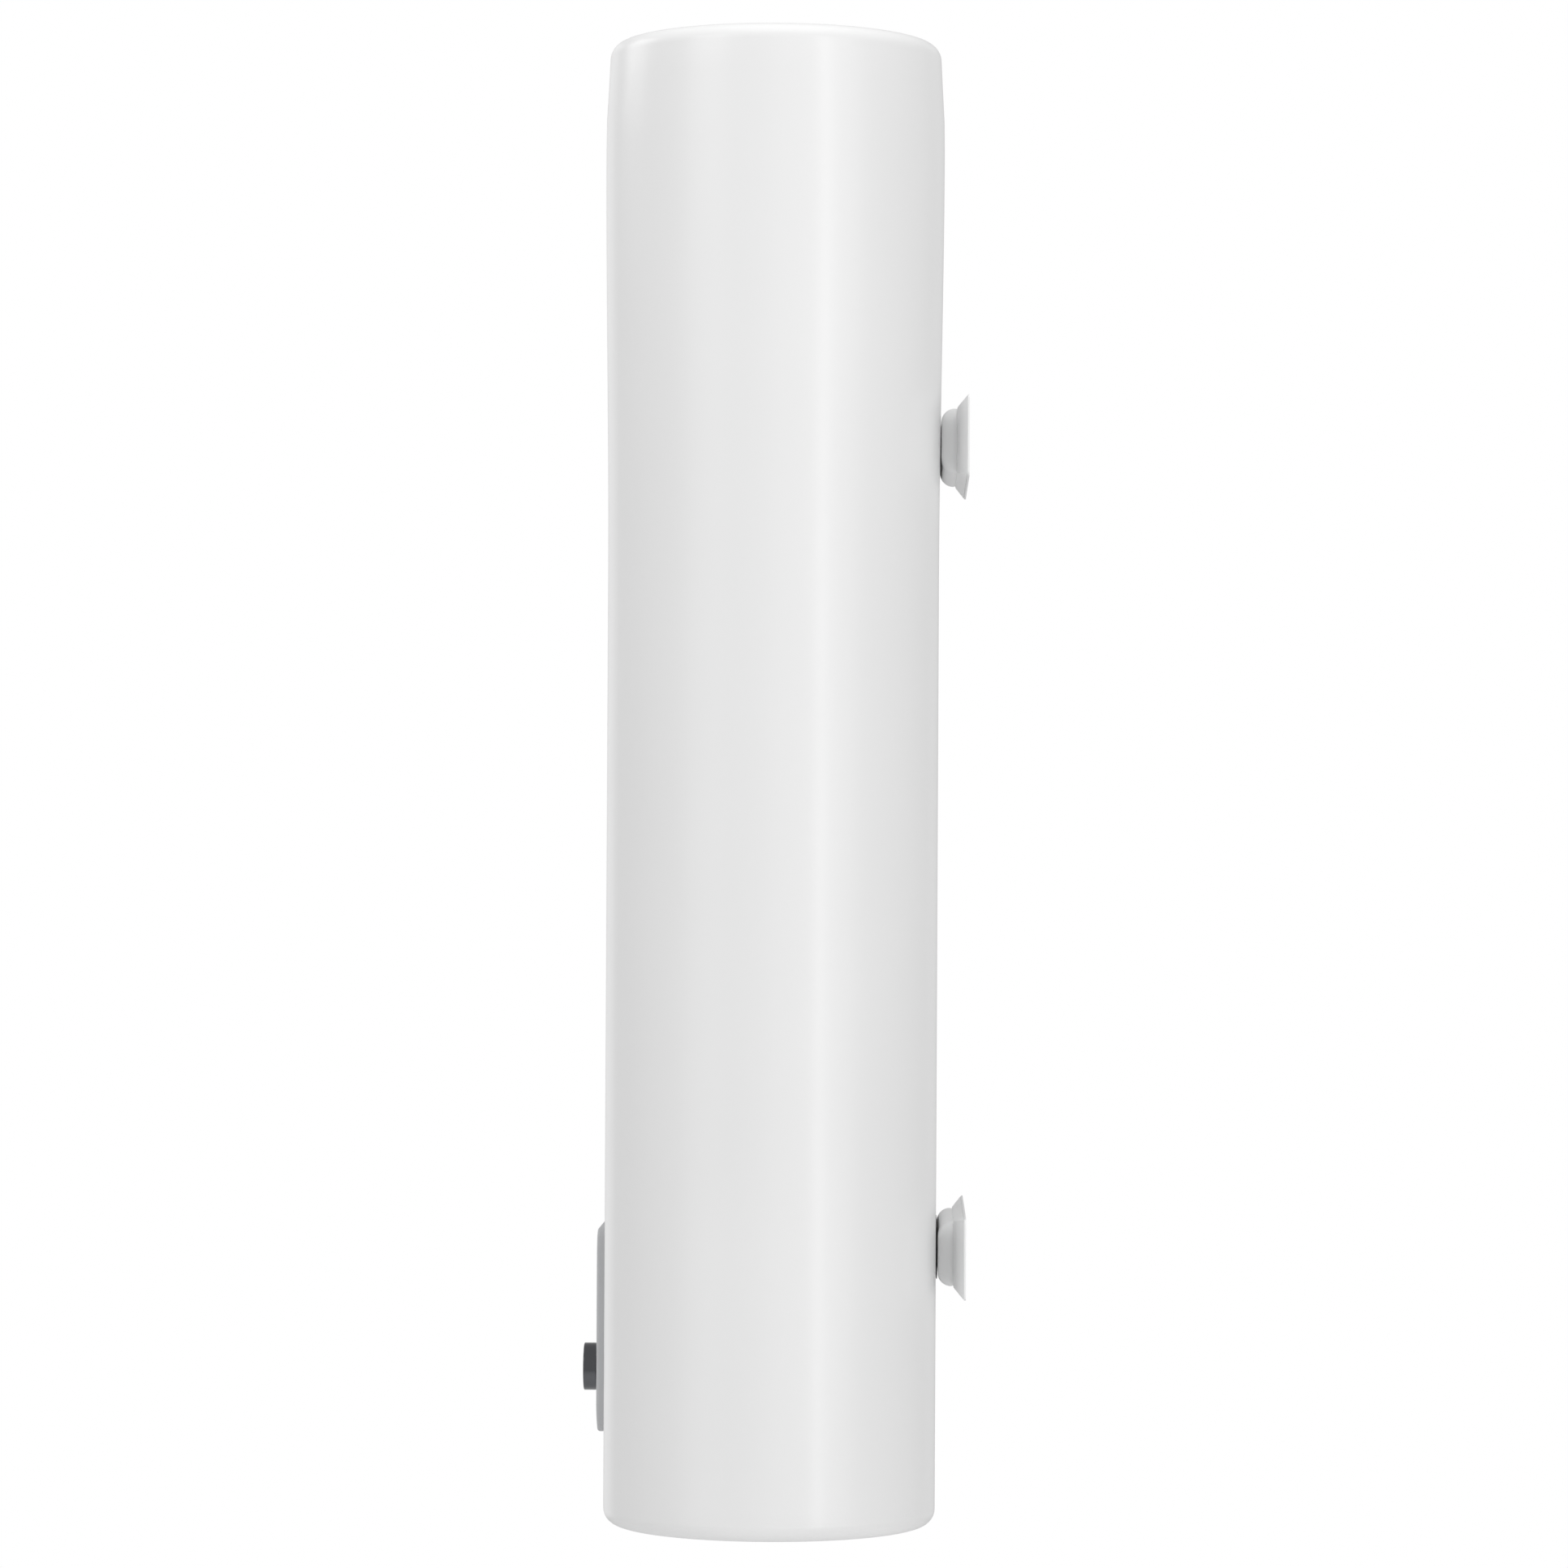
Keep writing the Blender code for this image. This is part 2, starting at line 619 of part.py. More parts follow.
def build_pipes():
    hot_top = TANK_TOP_Z - DOME_HEIGHT - 0.010
    cold_top = NECK_Z + 0.090
    for name, x, top, colour in (
        ("hot", -TANK_X, hot_top, RED_PLASTIC), ("cold", TANK_X, cold_top, BLUE_PLASTIC),
    ):
        place = (x, PIPE_Y, PIPE_END_Z)
        lathe(name + "_pipe", pipe_profile(PIPE_RADIUS, PIPE_WALL, top - PIPE_END_Z, 0.0), STEEL,
              place, steps=16, closed=True)
        collar_wall = COLLAR_RADIUS - PIPE_RADIUS - GAP
        collar_place = (x, PIPE_Y, CAP_Z - GAP - COLLAR_HEIGHT)
        lathe(name + "_collar", pipe_profile(COLLAR_RADIUS, collar_wall, COLLAR_HEIGHT, 0.0),
              colour, collar_place, steps=20, closed=True)

    bend_z = TANK_TOP_Z + LINK_NECK_LENGTH + 0.004
    turn = [math.pi / 2 * step / 5 for step in range(6)]
    right = [
        (TANK_X - LINK_BEND * (1 - math.cos(a)), BODY_Y, bend_z + LINK_BEND * math.sin(a))
        for a in turn
    ]
    left = [(-x, y, z) for x, y, z in reversed(right)]
    start = (TANK_X, BODY_Y, TANK_TOP_Z - 0.030)
    end = (-TANK_X, BODY_Y, NECK_Z + 0.420)
    tube("link_pipe", [start, *right, *left, end], LINK_RADIUS, STEEL, wall=0.0012)


def build_flange(side, x):
    """Weld ring, gasket, plate, bolts, element, anode and sensor well under one tank."""
    bolts = [
        (FLANGE_BOLT_CIRCLE * math.cos(a), FLANGE_BOLT_CIRCLE * math.sin(a))
        for a in (math.pi / 4 + math.pi / 2 * k for k in range(4))
    ]
    bolt_holes = [hole(FLANGE_BOLT_RADIUS, c, 8) for c in bolts]
    rim = circle(FLANGE_RADIUS, steps=ROUND_STEPS)
    bore = hole(NECK_RADIUS, steps=ROUND_STEPS)
    plate(side + "_weld_ring", [rim, bore, *bolt_holes], WELD_RING_HEIGHT, STEEL,
          (x, BODY_Y, NECK_Z))
    inner = circle(NECK_RADIUS - TANK_WALL, steps=ROUND_STEPS)
    plate(side + "_gasket", [rim, inner, *bolt_holes], GASKET_HEIGHT, BLACK_RUBBER,
          (x, BODY_Y, NECK_Z - GAP - GASKET_HEIGHT))
    through = [
        hole(ELEMENT_RADIUS, (ELEMENT_HALF_PITCH, 0.004), 8),
        hole(ELEMENT_RADIUS, (-ELEMENT_HALF_PITCH, 0.004), 8),
        hole(STUD_RADIUS, (0, ANODE_OFFSET), 8),
        hole(WELL_RADIUS, (0, WELL_OFFSET), 8),
    ]
    plate(side + "_flange", [rim, *bolt_holes, *through], FLANGE_PLATE, STEEL,
          (x, BODY_Y, PLATE_BOTTOM_Z))
    shank = NECK_Z + WELD_RING_HEIGHT - PLATE_BOTTOM_Z
    for index, (bx, by) in enumerate(bolts):
        bolt(f"{side}_flange_bolt_{index + 1}", FLANGE_BOLT_HEAD, 0.004, FLANGE_BOLT_RADIUS,
             shank, STEEL, (x + bx, BODY_Y + by, PLATE_BOTTOM_Z - GAP))

    leg_top = PLATE_TOP_Z + ELEMENT_HEIGHT
    pin_z = PLATE_BOTTOM_Z - 0.016
    bend = [math.pi * step / 6 for step in range(7)]
    points = [(x + ELEMENT_HALF_PITCH, BODY_Y + 0.004, pin_z)]
    points += [
        (x + ELEMENT_HALF_PITCH * math.cos(a), BODY_Y + 0.004,
         leg_top + ELEMENT_HALF_PITCH * math.sin(a))
        for a in bend
    ]
    points.append((x - ELEMENT_HALF_PITCH, BODY_Y + 0.004, pin_z))
    tube(side + "_heating_element", points, ELEMENT_RADIUS, COPPER)

    rod_start = FLANGE_PLATE + 0.012
    anode = [
        (0, rod_start + ANODE_LENGTH), (ANODE_RADIUS, rod_start + ANODE_LENGTH),
        (ANODE_RADIUS, rod_start), (STUD_RADIUS, rod_start), (STUD_RADIUS, -0.008), (0, -0.008),
    ]
    lathe(side + "_anode", anode, MAGNESIUM, (x, BODY_Y + ANODE_OFFSET, PLATE_BOTTOM_Z), steps=12)
    well = [
        (0, WELL_LENGTH), (WELL_RADIUS, WELL_LENGTH), (WELL_RADIUS, -0.004),
        (WELL_RADIUS - WELL_WALL, -0.004), (WELL_RADIUS - WELL_WALL, WELL_LENGTH - WELL_WALL),
        (0, WELL_LENGTH - WELL_WALL),
    ]
    lathe(side + "_sensor_well", well, COPPER, (x, BODY_Y + WELL_OFFSET, PLATE_BOTTOM_Z), steps=12)


# ------------------------------------------------------------ underside


def build_bottom():
    cap_inset = EDGE_RADIUS + BOTTOM_LIP + GAP
    corner = quarter(CAP_CORNER, 3)
    rings = [(body_outline(cap_inset + CAP_SHEET), 0.0005)]
    rings += [
        (body_outline(cap_inset + CAP_SHEET + CAP_CORNER - run), RECESS_DEPTH - rise)
        for run, rise in reversed(corner)
    ]

    surface = loft("bottom_cap", rings, cap_high=True, inside_out=True)
    cap = sheet_piece("bottom_cap", surface, WHITE_ENAMEL, CAP_SHEET, (0, BODY_Y, BODY_BOTTOM_Z))
    holes = [("gland", 0.0, PIPE_Y, GLAND_RADIUS + GAP)]
    for side, s in (("left", -1), ("right", 1)):
        holes.append((side + "_flange", s * TANK_X, BODY_Y, FLANGE_OPENING))
        holes.append((side + "_pipe", s * TANK_X, PIPE_Y, PIPE_RADIUS + GAP))
    for name, x, y, radius in holes:
        tool = round_cutter(radius, 0.010, 20)
        cut(cap, name + "_opening", tool, (x, y, CAP_Z))

    half_x, half_y = COVER_HALF_LENGTH, COVER_HALF_WIDTH
    cover_corner = 0.016
    wide = outline(half_x + COVER_FLANGE, half_y + COVER_FLANGE, cover_corner + COVER_FLANGE, 4)
    rings = [(wide, 0.0), (outline(half_x, half_y, cover_corner, 4), 0.0)]
    floor_round = quarter(0.004, 2)
    for run, rise in reversed(floor_round):
        inset = 0.004 - run
        rings.append(
            (outline(half_x - inset, half_y - inset, cover_corner - inset, 4), COVER_DEPTH - rise)
        )
    cover = sheet_piece("service_cover", loft("service_cover", rings, cap_high=True),
                        WHITE_PLASTIC, COVER_WALL, (0, BODY_Y, CAP_Z - GAP - COVER_WALL),
                        (math.pi, 0, 0))
    cover_floor_z = CAP_Z - GAP - COVER_WALL - COVER_DEPTH
    screw_y = COVER_HALF_WIDTH + COVER_FLANGE / 2 + 0.0005
    corners = ((-1, -1), (1, -1), (1, 1), (-1, 1))
    for index, (sx, sy) in enumerate(corners):
        x, y = sx * COVER_SCREW_X, BODY_Y + sy * screw_y
        for target in (cover, cap):
            tool = round_cutter(COVER_SCREW_RADIUS + GAP, 0.012, 10)
            cut(target, f"{target.name}_screw_hole_{index + 1}", tool, (x, y, CAP_Z))
        head = 0.0018
        screw = [
            (0, 0.008), (COVER_SCREW_RADIUS, 0.0075), (COVER_SCREW_RADIUS, 0.0),
            (0.0034, 0.0), (0.0030, -head), (0, -head),
        ]
        lathe(f"cover_screw_{index + 1}", screw, STEEL, (x, y, CAP_Z - 2 * GAP - COVER_WALL),
              steps=10)

    button_y = BODY_Y + CUTOUT_OFFSET
    cutout_top = CAP_Z - GAP
    cutout = block("thermal_cutout", (CUTOUT_LENGTH, CUTOUT_WIDTH, CUTOUT_HEIGHT), DARK_PLASTIC,
                   (0, button_y, cutout_top - CUTOUT_HEIGHT / 2), bevel=0.001)
    bore_depth = 0.008
    underside = cutout_top - CUTOUT_HEIGHT
    tool = round_cutter(BUTTON_RADIUS + GAP, 2 * bore_depth)
    cut(cutout, "button_bore", tool, (0, button_y, underside))
    tool = round_cutter(BUTTON_RADIUS + 2 * GAP, 0.02)
    cut(cover, "button_hole", tool, (0, button_y, cover_floor_z))
    tip = cover_floor_z + BUTTON_SINK
    length = underside + bore_depth - BUTTON_TRAVEL - 0.001 - tip
    button = [(0, length), (BUTTON_RADIUS, length), (BUTTON_RADIUS, 0.0006),
              (BUTTON_RADIUS - 0.0006, 0.0), (0, 0.0)]
    lathe("reset_button", button, RED_PLASTIC, (0, button_y, tip), steps=16)

    block("terminal_block", (TERMINAL_LENGTH, TERMINAL_WIDTH, TERMINAL_HEIGHT), WHITE_PLASTIC,
          (0, BODY_Y + TERMINAL_OFFSET, cutout_top - TERMINAL_HEIGHT / 2), bevel=0.001)

    gland = [
        (GLAND_RADIUS, CAP_SHEET + 0.006), (GLAND_RADIUS, -GAP), (GLAND_RADIUS + 0.003, -GAP),
        (GLAND_RADIUS + 0.003, -0.006), (GLAND_RADIUS, -0.0065), (GLAND_RADIUS - 0.001, -GLAND_DROP),
        (GLAND_BORE, -GLAND_DROP), (GLAND_BORE, CAP_SHEET + 0.006),
    ]
    lathe("cable_gland", gland, GREY_PLASTIC, (0, PIPE_Y, CAP_Z), steps=16, closed=True)


# ------------------------------------------------------------ control panel


def panel_outline(inset):
    radius, low_radius = (max(r - inset, 0.002) for r in (PANEL_CORNER, PANEL_LOW_CORNER))
    return outline(PANEL_WIDTH / 2 - inset, PANEL_HEIGHT / 2 - inset, radius, 4, low_radius)


def build_panel():
    face = (0, BODY_FRONT_Y, PANEL_Z)
    top = PANEL_SIDE + PANEL_CROWN
    rings = [(panel_outline(0), GAP), (panel_outline(0), PANEL_SIDE - PANEL_EDGE)]
    rings.append((panel_outline(PANEL_EDGE * 0.3), PANEL_SIDE - PANEL_EDGE * 0.3))
    deepest = PANEL_WIDTH / 2 - 0.008
    for inset in (PANEL_EDGE, 0.010, 0.022, deepest):
        left = 1 - inset / deepest
        rings.append((panel_outline(inset), top - PANEL_CROWN * left * left))
    surface = loft("control_panel", rings, cap_high=True)
    fascia = sheet_piece("control_panel", surface, GREY_PLASTIC, PANEL_WALL, face, FACING_FRONT)
    window_z = PANEL_Z + WINDOW_RISE
    cut(fascia, "window_hole", box_cutter((WINDOW_WIDTH, 0.03, WINDOW_HEIGHT)),
        (0, BODY_FRONT_Y, window_z))
    cut(fascia, "shaft_hole", round_cutter(SHAFT_RADIUS + 0.002, 0.03),
        (0, BODY_FRONT_Y - top, KNOB_Z), FACING_FRONT)
    pane = outline(WINDOW_WIDTH / 2 - GAP, WINDOW_HEIGHT / 2 - GAP, 0.001, 1)
    pane_place = (0, BODY_FRONT_Y - (PANEL_SIDE - 0.0012), window_z)
    plate("display_window", [pane], WINDOW_THICKNESS, DARK_PLASTIC, pane_place, FACING_FRONT)
    for side, s in (("left", -1), ("right", 1)):
        x = s * LENS_SPREAD
        tool = round_cutter(LENS_RADIUS + GAP, 0.03, 12)
        cut(fascia, side + "_lens_hole", tool, (x, BODY_FRONT_Y, PANEL_Z + LENS_RISE), FACING_FRONT)
        lens = [(0, 0.0045), (LENS_RADIUS * 0.7, 0.0041), (LENS_RADIUS, 0.0034), (LENS_RADIUS, 0),
                (0, 0)]
        lathe(side + "_lamp", lens, RED_PLASTIC,
              (x, BODY_FRONT_Y - PANEL_SIDE + 0.0030, PANEL_Z + LENS_RISE), FACING_FRONT, steps=12)

    half_x, half_z = HOUSING_WIDTH / 2, HOUSING_HEIGHT / 2
    housing_top = PANEL_SIDE - PANEL_WALL - 4 * GAP
    round_floor = quarter(0.003, 2)

    def housing_ring(inset, height):
        radius = max(HOUSING_CORNER - inset, 0.002)
        return outline(half_x - inset, half_z - inset, radius, 3), height

    wall_rings = [housing_ring(0.003 - run, -HOUSING_DEPTH + rise) for run, rise in round_floor]
    wall_rings.append(housing_ring(0.0, housing_top))

    surface = loft("control_housing", wall_rings, cap_low=True)
    sheet_piece("control_housing", surface, GREY_PLASTIC, PANEL_WALL, face, FACING_FRONT)

    board_half_x = half_x - PANEL_WALL - BOARD_MARGIN
    board_half_z = half_z - PANEL_WALL - BOARD_MARGIN
    board_back = -0.0140
    board = outline(board_half_x, board_half_z, 0.003, 2)
    plate("control_board", [board], BOARD_THICKNESS, BOARD_GREEN,
          (0, BODY_FRONT_Y - board_back, PANEL_Z), FACING_FRONT)

    body_back = board_back + BOARD_THICKNESS + GAP
    encoder_y = BODY_FRONT_Y - body_back - ENCODER_HEIGHT / 2
    encoder = block("rotary_encoder", (ENCODER_SIZE, ENCODER_HEIGHT, ENCODER_SIZE), STEEL,
                    (0, encoder_y, KNOB_Z))
    bore = 0.0045
    body_front = body_back + ENCODER_HEIGHT
    cut(encoder, "shaft_bore", round_cutter(SHAFT_RADIUS + GAP, 2 * bore),
        (0, BODY_FRONT_Y - body_front, KNOB_Z), FACING_FRONT)

    axis = (0, BODY_FRONT_Y, KNOB_Z)
    base = top + KNOB_GAP
    face_edge = base + KNOB_LENGTH
    inner = KNOB_RADIUS - RING_WALL
    ring = [
        (KNOB_RADIUS - 0.0008, face_edge), (KNOB_RADIUS, face_edge - 0.0008), (KNOB_RADIUS, base),
        (inner, base), (inner, face_edge),
    ]
    lathe("knob_ring", ring, CHROME, axis, FACING_FRONT, steps=36, closed=True)
    core_radius = inner - GAP
    bore_top = face_edge - 0.003
    dome = [
        (core_radius * math.sin(a), face_edge - 0.0004 + KNOB_DOME * math.cos(a))
        for a in (0.0, 0.4, 0.8, 1.2, math.pi / 2)
    ]
    core = dome + [
        (core_radius, base), (SHAFT_RADIUS + GAP, base), (SHAFT_RADIUS + GAP, bore_top),
        (0, bore_top),
    ]
    knob = lathe("knob_cap", core, WHITE_PLASTIC, axis, FACING_FRONT, steps=36)
    groove_y = BODY_FRONT_Y - face_edge - KNOB_DOME
    groove_radius = core_radius - 0.0055
    groove_x, groove_z = (-groove_radius * math.sin(KNOB_OFF), -groove_radius * math.cos(KNOB_OFF))
    cut(knob, "pointer_groove", box_cutter((0.0012, 0.0024, 0.007)),
        (groove_x, groove_y, KNOB_Z + groove_z), (0, KNOB_OFF, 0))
    shaft = [(0, bore_top - GAP), (SHAFT_RADIUS, bore_top - GAP),
             (SHAFT_RADIUS, body_front - bore + 0.001), (0, body_front - bore + 0.001)]
    lathe("knob_shaft", shaft, STEEL, axis, FACING_FRONT, steps=16)


jacket_object = build_jacket()
build_bracket("upper_bracket", UPPER_BRACKET_Z, jacket_object, hooked=True)
build_bracket("lower_bracket", LOWER_BRACKET_Z, jacket_object, hooked=False)
build_tank("left_tank", -TANK_X)
build_tank("right_tank", TANK_X)
build_pipes()
build_flange("left", -TANK_X)
build_flange("right", TANK_X)
build_bottom()
build_panel()
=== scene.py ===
import json
import math

import bpy
import numpy as np
from mathutils import Matrix, Vector


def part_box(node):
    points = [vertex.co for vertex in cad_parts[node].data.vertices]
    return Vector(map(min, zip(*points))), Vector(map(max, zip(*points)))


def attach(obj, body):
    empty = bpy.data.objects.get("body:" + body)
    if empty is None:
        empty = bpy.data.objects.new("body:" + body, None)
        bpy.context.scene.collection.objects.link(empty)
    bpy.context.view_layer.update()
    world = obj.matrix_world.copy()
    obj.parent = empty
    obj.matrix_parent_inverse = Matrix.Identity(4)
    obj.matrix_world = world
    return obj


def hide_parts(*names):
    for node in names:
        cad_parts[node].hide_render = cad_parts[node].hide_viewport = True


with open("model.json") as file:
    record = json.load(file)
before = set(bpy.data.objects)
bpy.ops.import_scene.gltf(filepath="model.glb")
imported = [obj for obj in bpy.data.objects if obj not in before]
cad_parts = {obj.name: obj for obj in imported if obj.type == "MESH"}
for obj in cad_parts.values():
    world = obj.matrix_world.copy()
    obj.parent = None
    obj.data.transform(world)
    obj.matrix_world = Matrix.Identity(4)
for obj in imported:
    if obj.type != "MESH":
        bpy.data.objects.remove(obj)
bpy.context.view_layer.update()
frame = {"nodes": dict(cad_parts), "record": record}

print("stage: frame loaded,", len(frame["nodes"]), "CAD nodes")


# the camera looks along -X at the heater's narrow side, a little from below
cameraSet = {
    "distance": 4.295,
    "beside": 0.106,  # from the body's middle towards the wall
    "below": 0.052,
    "pan": -0.0231,
    "tilt": 0.0122,
    "roll": 0.0050,
    "lens": 125.4,
}


def boxOf(node):
    low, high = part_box(node)
    return np.array(low), np.array(high)


bodyLow, bodyHigh = boxOf("jacket")
bodyMiddle = (bodyLow + bodyHigh) / 2
bodyBottom, bodyTop = bodyLow[2], bodyHigh[2]
frontY, backY = bodyLow[1], bodyHigh[1]
panelLow, panelHigh = boxOf("control_panel")
panelZ = (panelLow[2] + panelHigh[2]) / 2
windowLow, windowHigh = boxOf("display_window")
windowZ = (windowLow[2] + windowHigh[2]) / 2
knobLow, knobHigh = boxOf("knob_ring")
knobZ = (knobLow[2] + knobHigh[2]) / 2
capZ = boxOf("hot_collar")[1][2]


# ---- node and mesh helpers


def toLinear(text):
    # each channel c: c / 12.92 below 0.04045, otherwise ((c + 0.055) / 1.055) ^ 2.4
    channels = [int(text[i:i + 2], 16) / 255 for i in (0, 2, 4)]
    return [c / 12.92 if c <= 0.04045 else ((c + 0.055) / 1.055) ** 2.4 for c in channels] + [1.0]


def addNode(tree, kind, settings=None, links=None):
    node = tree.nodes.new(kind)
    for key, value in (settings or {}).items():
        if isinstance(key, int) or key in node.inputs:
            node.inputs[key].default_value = value
        else:
            setattr(node, key, value)
    for socket, source in (links or {}).items():
        tree.links.new(source, node.inputs[socket])
    return node


def gridMesh(name, points, wrapRows=False, lowCap=False, highCap=False, keep=None):
    # a grid of rows x columns of points whose columns close on themselves; each cell is one face,
    # and looks outwards when a row runs counter-clockwise seen from the side that the rows rise to
    rows, cols = points.shape[:2]
    index = np.arange(rows * cols).reshape(rows, cols)
    low = index if wrapRows else index[:-1]
    high = np.roll(index, -1, 0) if wrapRows else index[1:]
    cells = np.stack([low, np.roll(low, -1, 1), np.roll(high, -1, 1), high], -1)
    if keep is not None:
        cells = cells[keep]
    faces = cells.reshape(-1, 4).tolist()
    vertices = points.reshape(-1, 3)
    for wanted, ring, turn in ((lowCap, index[0], -1), (highCap, index[-1], 1)):
        if wanted:
            centre = len(vertices)
            vertices = np.vstack([vertices, vertices[ring].mean(0)])
            pair = np.stack([ring, np.roll(ring, -1)], -1)[:, ::turn]
            faces += np.column_stack([np.full(len(ring), centre), pair]).tolist()
    mesh = bpy.data.meshes.new(name)
    mesh.from_pydata(vertices.tolist(), [], faces)
    mesh.update()
    return mesh


def addPiece(name, mesh, finish, body="root", node=None, wall=0.0, evenWall=True, smooth=35):
    # wall gives an open surface a wall behind it, which is then part of the mesh
    piece = bpy.data.objects.new(name, mesh)
    bpy.context.scene.collection.objects.link(piece)
    if wall:
        solid = piece.modifiers.new("wall", "SOLIDIFY")
        solid.thickness = wall
        solid.offset = -1
        solid.use_even_offset = evenWall
        ready = piece.evaluated_get(bpy.context.evaluated_depsgraph_get())
        made = bpy.data.meshes.new_from_object(ready)
        piece.modifiers.clear()
        piece.data = made
    piece.data.name = name
    piece.data.shade_smooth()
    piece.data.set_sharp_from_angle(angle=math.radians(smooth))
    piece.data.materials.clear()
    piece.data.materials.append(finishes[finish])
    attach(piece, body)
    if node:
        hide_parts(node)
    return piece


def roundedRing(halfX, halfY, radius, arcSteps, alongX=(), alongY=()):
    # counter-clockwise rounded rectangle as cores and normals: core + (radius - inset) * normal
    # is the ring at that inset; alongX and alongY add points to the straight sides
    cx, cy = halfX - radius, halfY - radius
    acrossX = np.sort(np.array(alongX, float))[::-1]
    acrossY = np.sort(np.array(alongY, float))[::-1]
    turn = np.linspace(0, np.pi / 2, arcSteps + 1)
    cores, normals = [], []
    corners = ((1, 1), (-1, 1), (-1, -1), (1, -1))
    for quarter, (sx, sy) in enumerate(corners):
        angle = turn + quarter * np.pi / 2
        cores.append(np.tile([sx * cx, sy * cy], (len(angle), 1)))
        normals.append(np.stack([np.cos(angle), np.sin(angle)], -1))
        along = (acrossX, acrossY, acrossX[::-1], acrossY[::-1])[quarter]
        if quarter % 2 == 0:
            cores.append(np.stack([along, np.full(len(along), sy * cy)], -1))
        else:
            cores.append(np.stack([np.full(len(along), sx * cx), along], -1))
        normals.append(np.tile([np.cos(angle[-1]), np.sin(angle[-1])], (len(along), 1)))
    core, normal = np.vstack(cores), np.vstack(normals)
    edge = core + radius * normal
    fresh = np.linalg.norm(edge - np.roll(edge, 1, 0), axis=1) > 1e-6
    return core[fresh], normal[fresh]


def liftRings(rings, heights):
    # stacks flat rings, each at its height, into one grid
    return np.stack([np.column_stack([ring, np.full(len(ring), z)])
                     for ring, z in zip(rings, heights)])


def roundCorner(radius, steps):
    # quarter of a circle from the foot of a wall inwards: (run out from the wall, rise)
    angle = np.linspace(0, np.pi / 2, steps + 1)
    return radius * (1 - np.cos(angle)), radius * (1 - np.sin(angle))


def turnRound(profile, steps, shape=None):
    # a profile of (radius, height) carried round the local Z axis
    angle = np.linspace(0, 2 * np.pi, steps, endpoint=False)
    radius = np.tile(profile[:, :1], (1, steps))
    height = np.tile(profile[:, 1:], (1, steps))
    if shape is not None:
        radius, height = shape(radius, height, angle[None, :])
    return np.stack([radius * np.cos(angle), radius * np.sin(angle), height], -1)


def toFront(points, place):
    # local Z turns to look at the room, -Y, and local Y turns to look up
    x, y, z = np.moveaxis(points, -1, 0)
    return np.stack([x, -z, y], -1) + np.array(place)


def toWall(points, place):
    # local Z turns to look at the wall, +Y, and local Y turns to look down
    x, y, z = np.moveaxis(points, -1, 0)
    return np.stack([x, z, -y], -1) + np.array(place)


def toFloor(points, place):
    # local Z turns to look down, and local Y turns to look at the room
    x, y, z = np.moveaxis(points, -1, 0)
    return np.stack([x, -y, -z], -1) + np.array(place)


def bend(points, radius, steps=5):
    # rounds each inner corner of an open profile with a parabola that starts radius before it
    points = np.array(points, float)
    run = [points[:1]]
    for before, corner, after in zip(points, points[1:], points[2:]):
        back, ahead = before - corner, after - corner
        reach = min(radius, np.linalg.norm(back) * 0.45, np.linalg.norm(ahead) * 0.45)
        start = corner + back / np.linalg.norm(back) * reach
        end = corner + ahead / np.linalg.norm(ahead) * reach
        t = np.linspace(0, 1, steps + 1)[:, None]
        run.append((1 - t) ** 2 * start + 2 * t * (1 - t) * corner + t ** 2 * end)
    run.append(points[-1:])
    return np.vstack(run)


# ---- finishes


finishes = {}


def noiseOf(millimetres, detail=2.0, roughness=0.5):
    # a noise whose blobs are about this many millimetres across
    settings = {"Scale": 1000 / millimetres, "Detail": detail, "Roughness": roughness}
    return "Noise", "Fac", settings


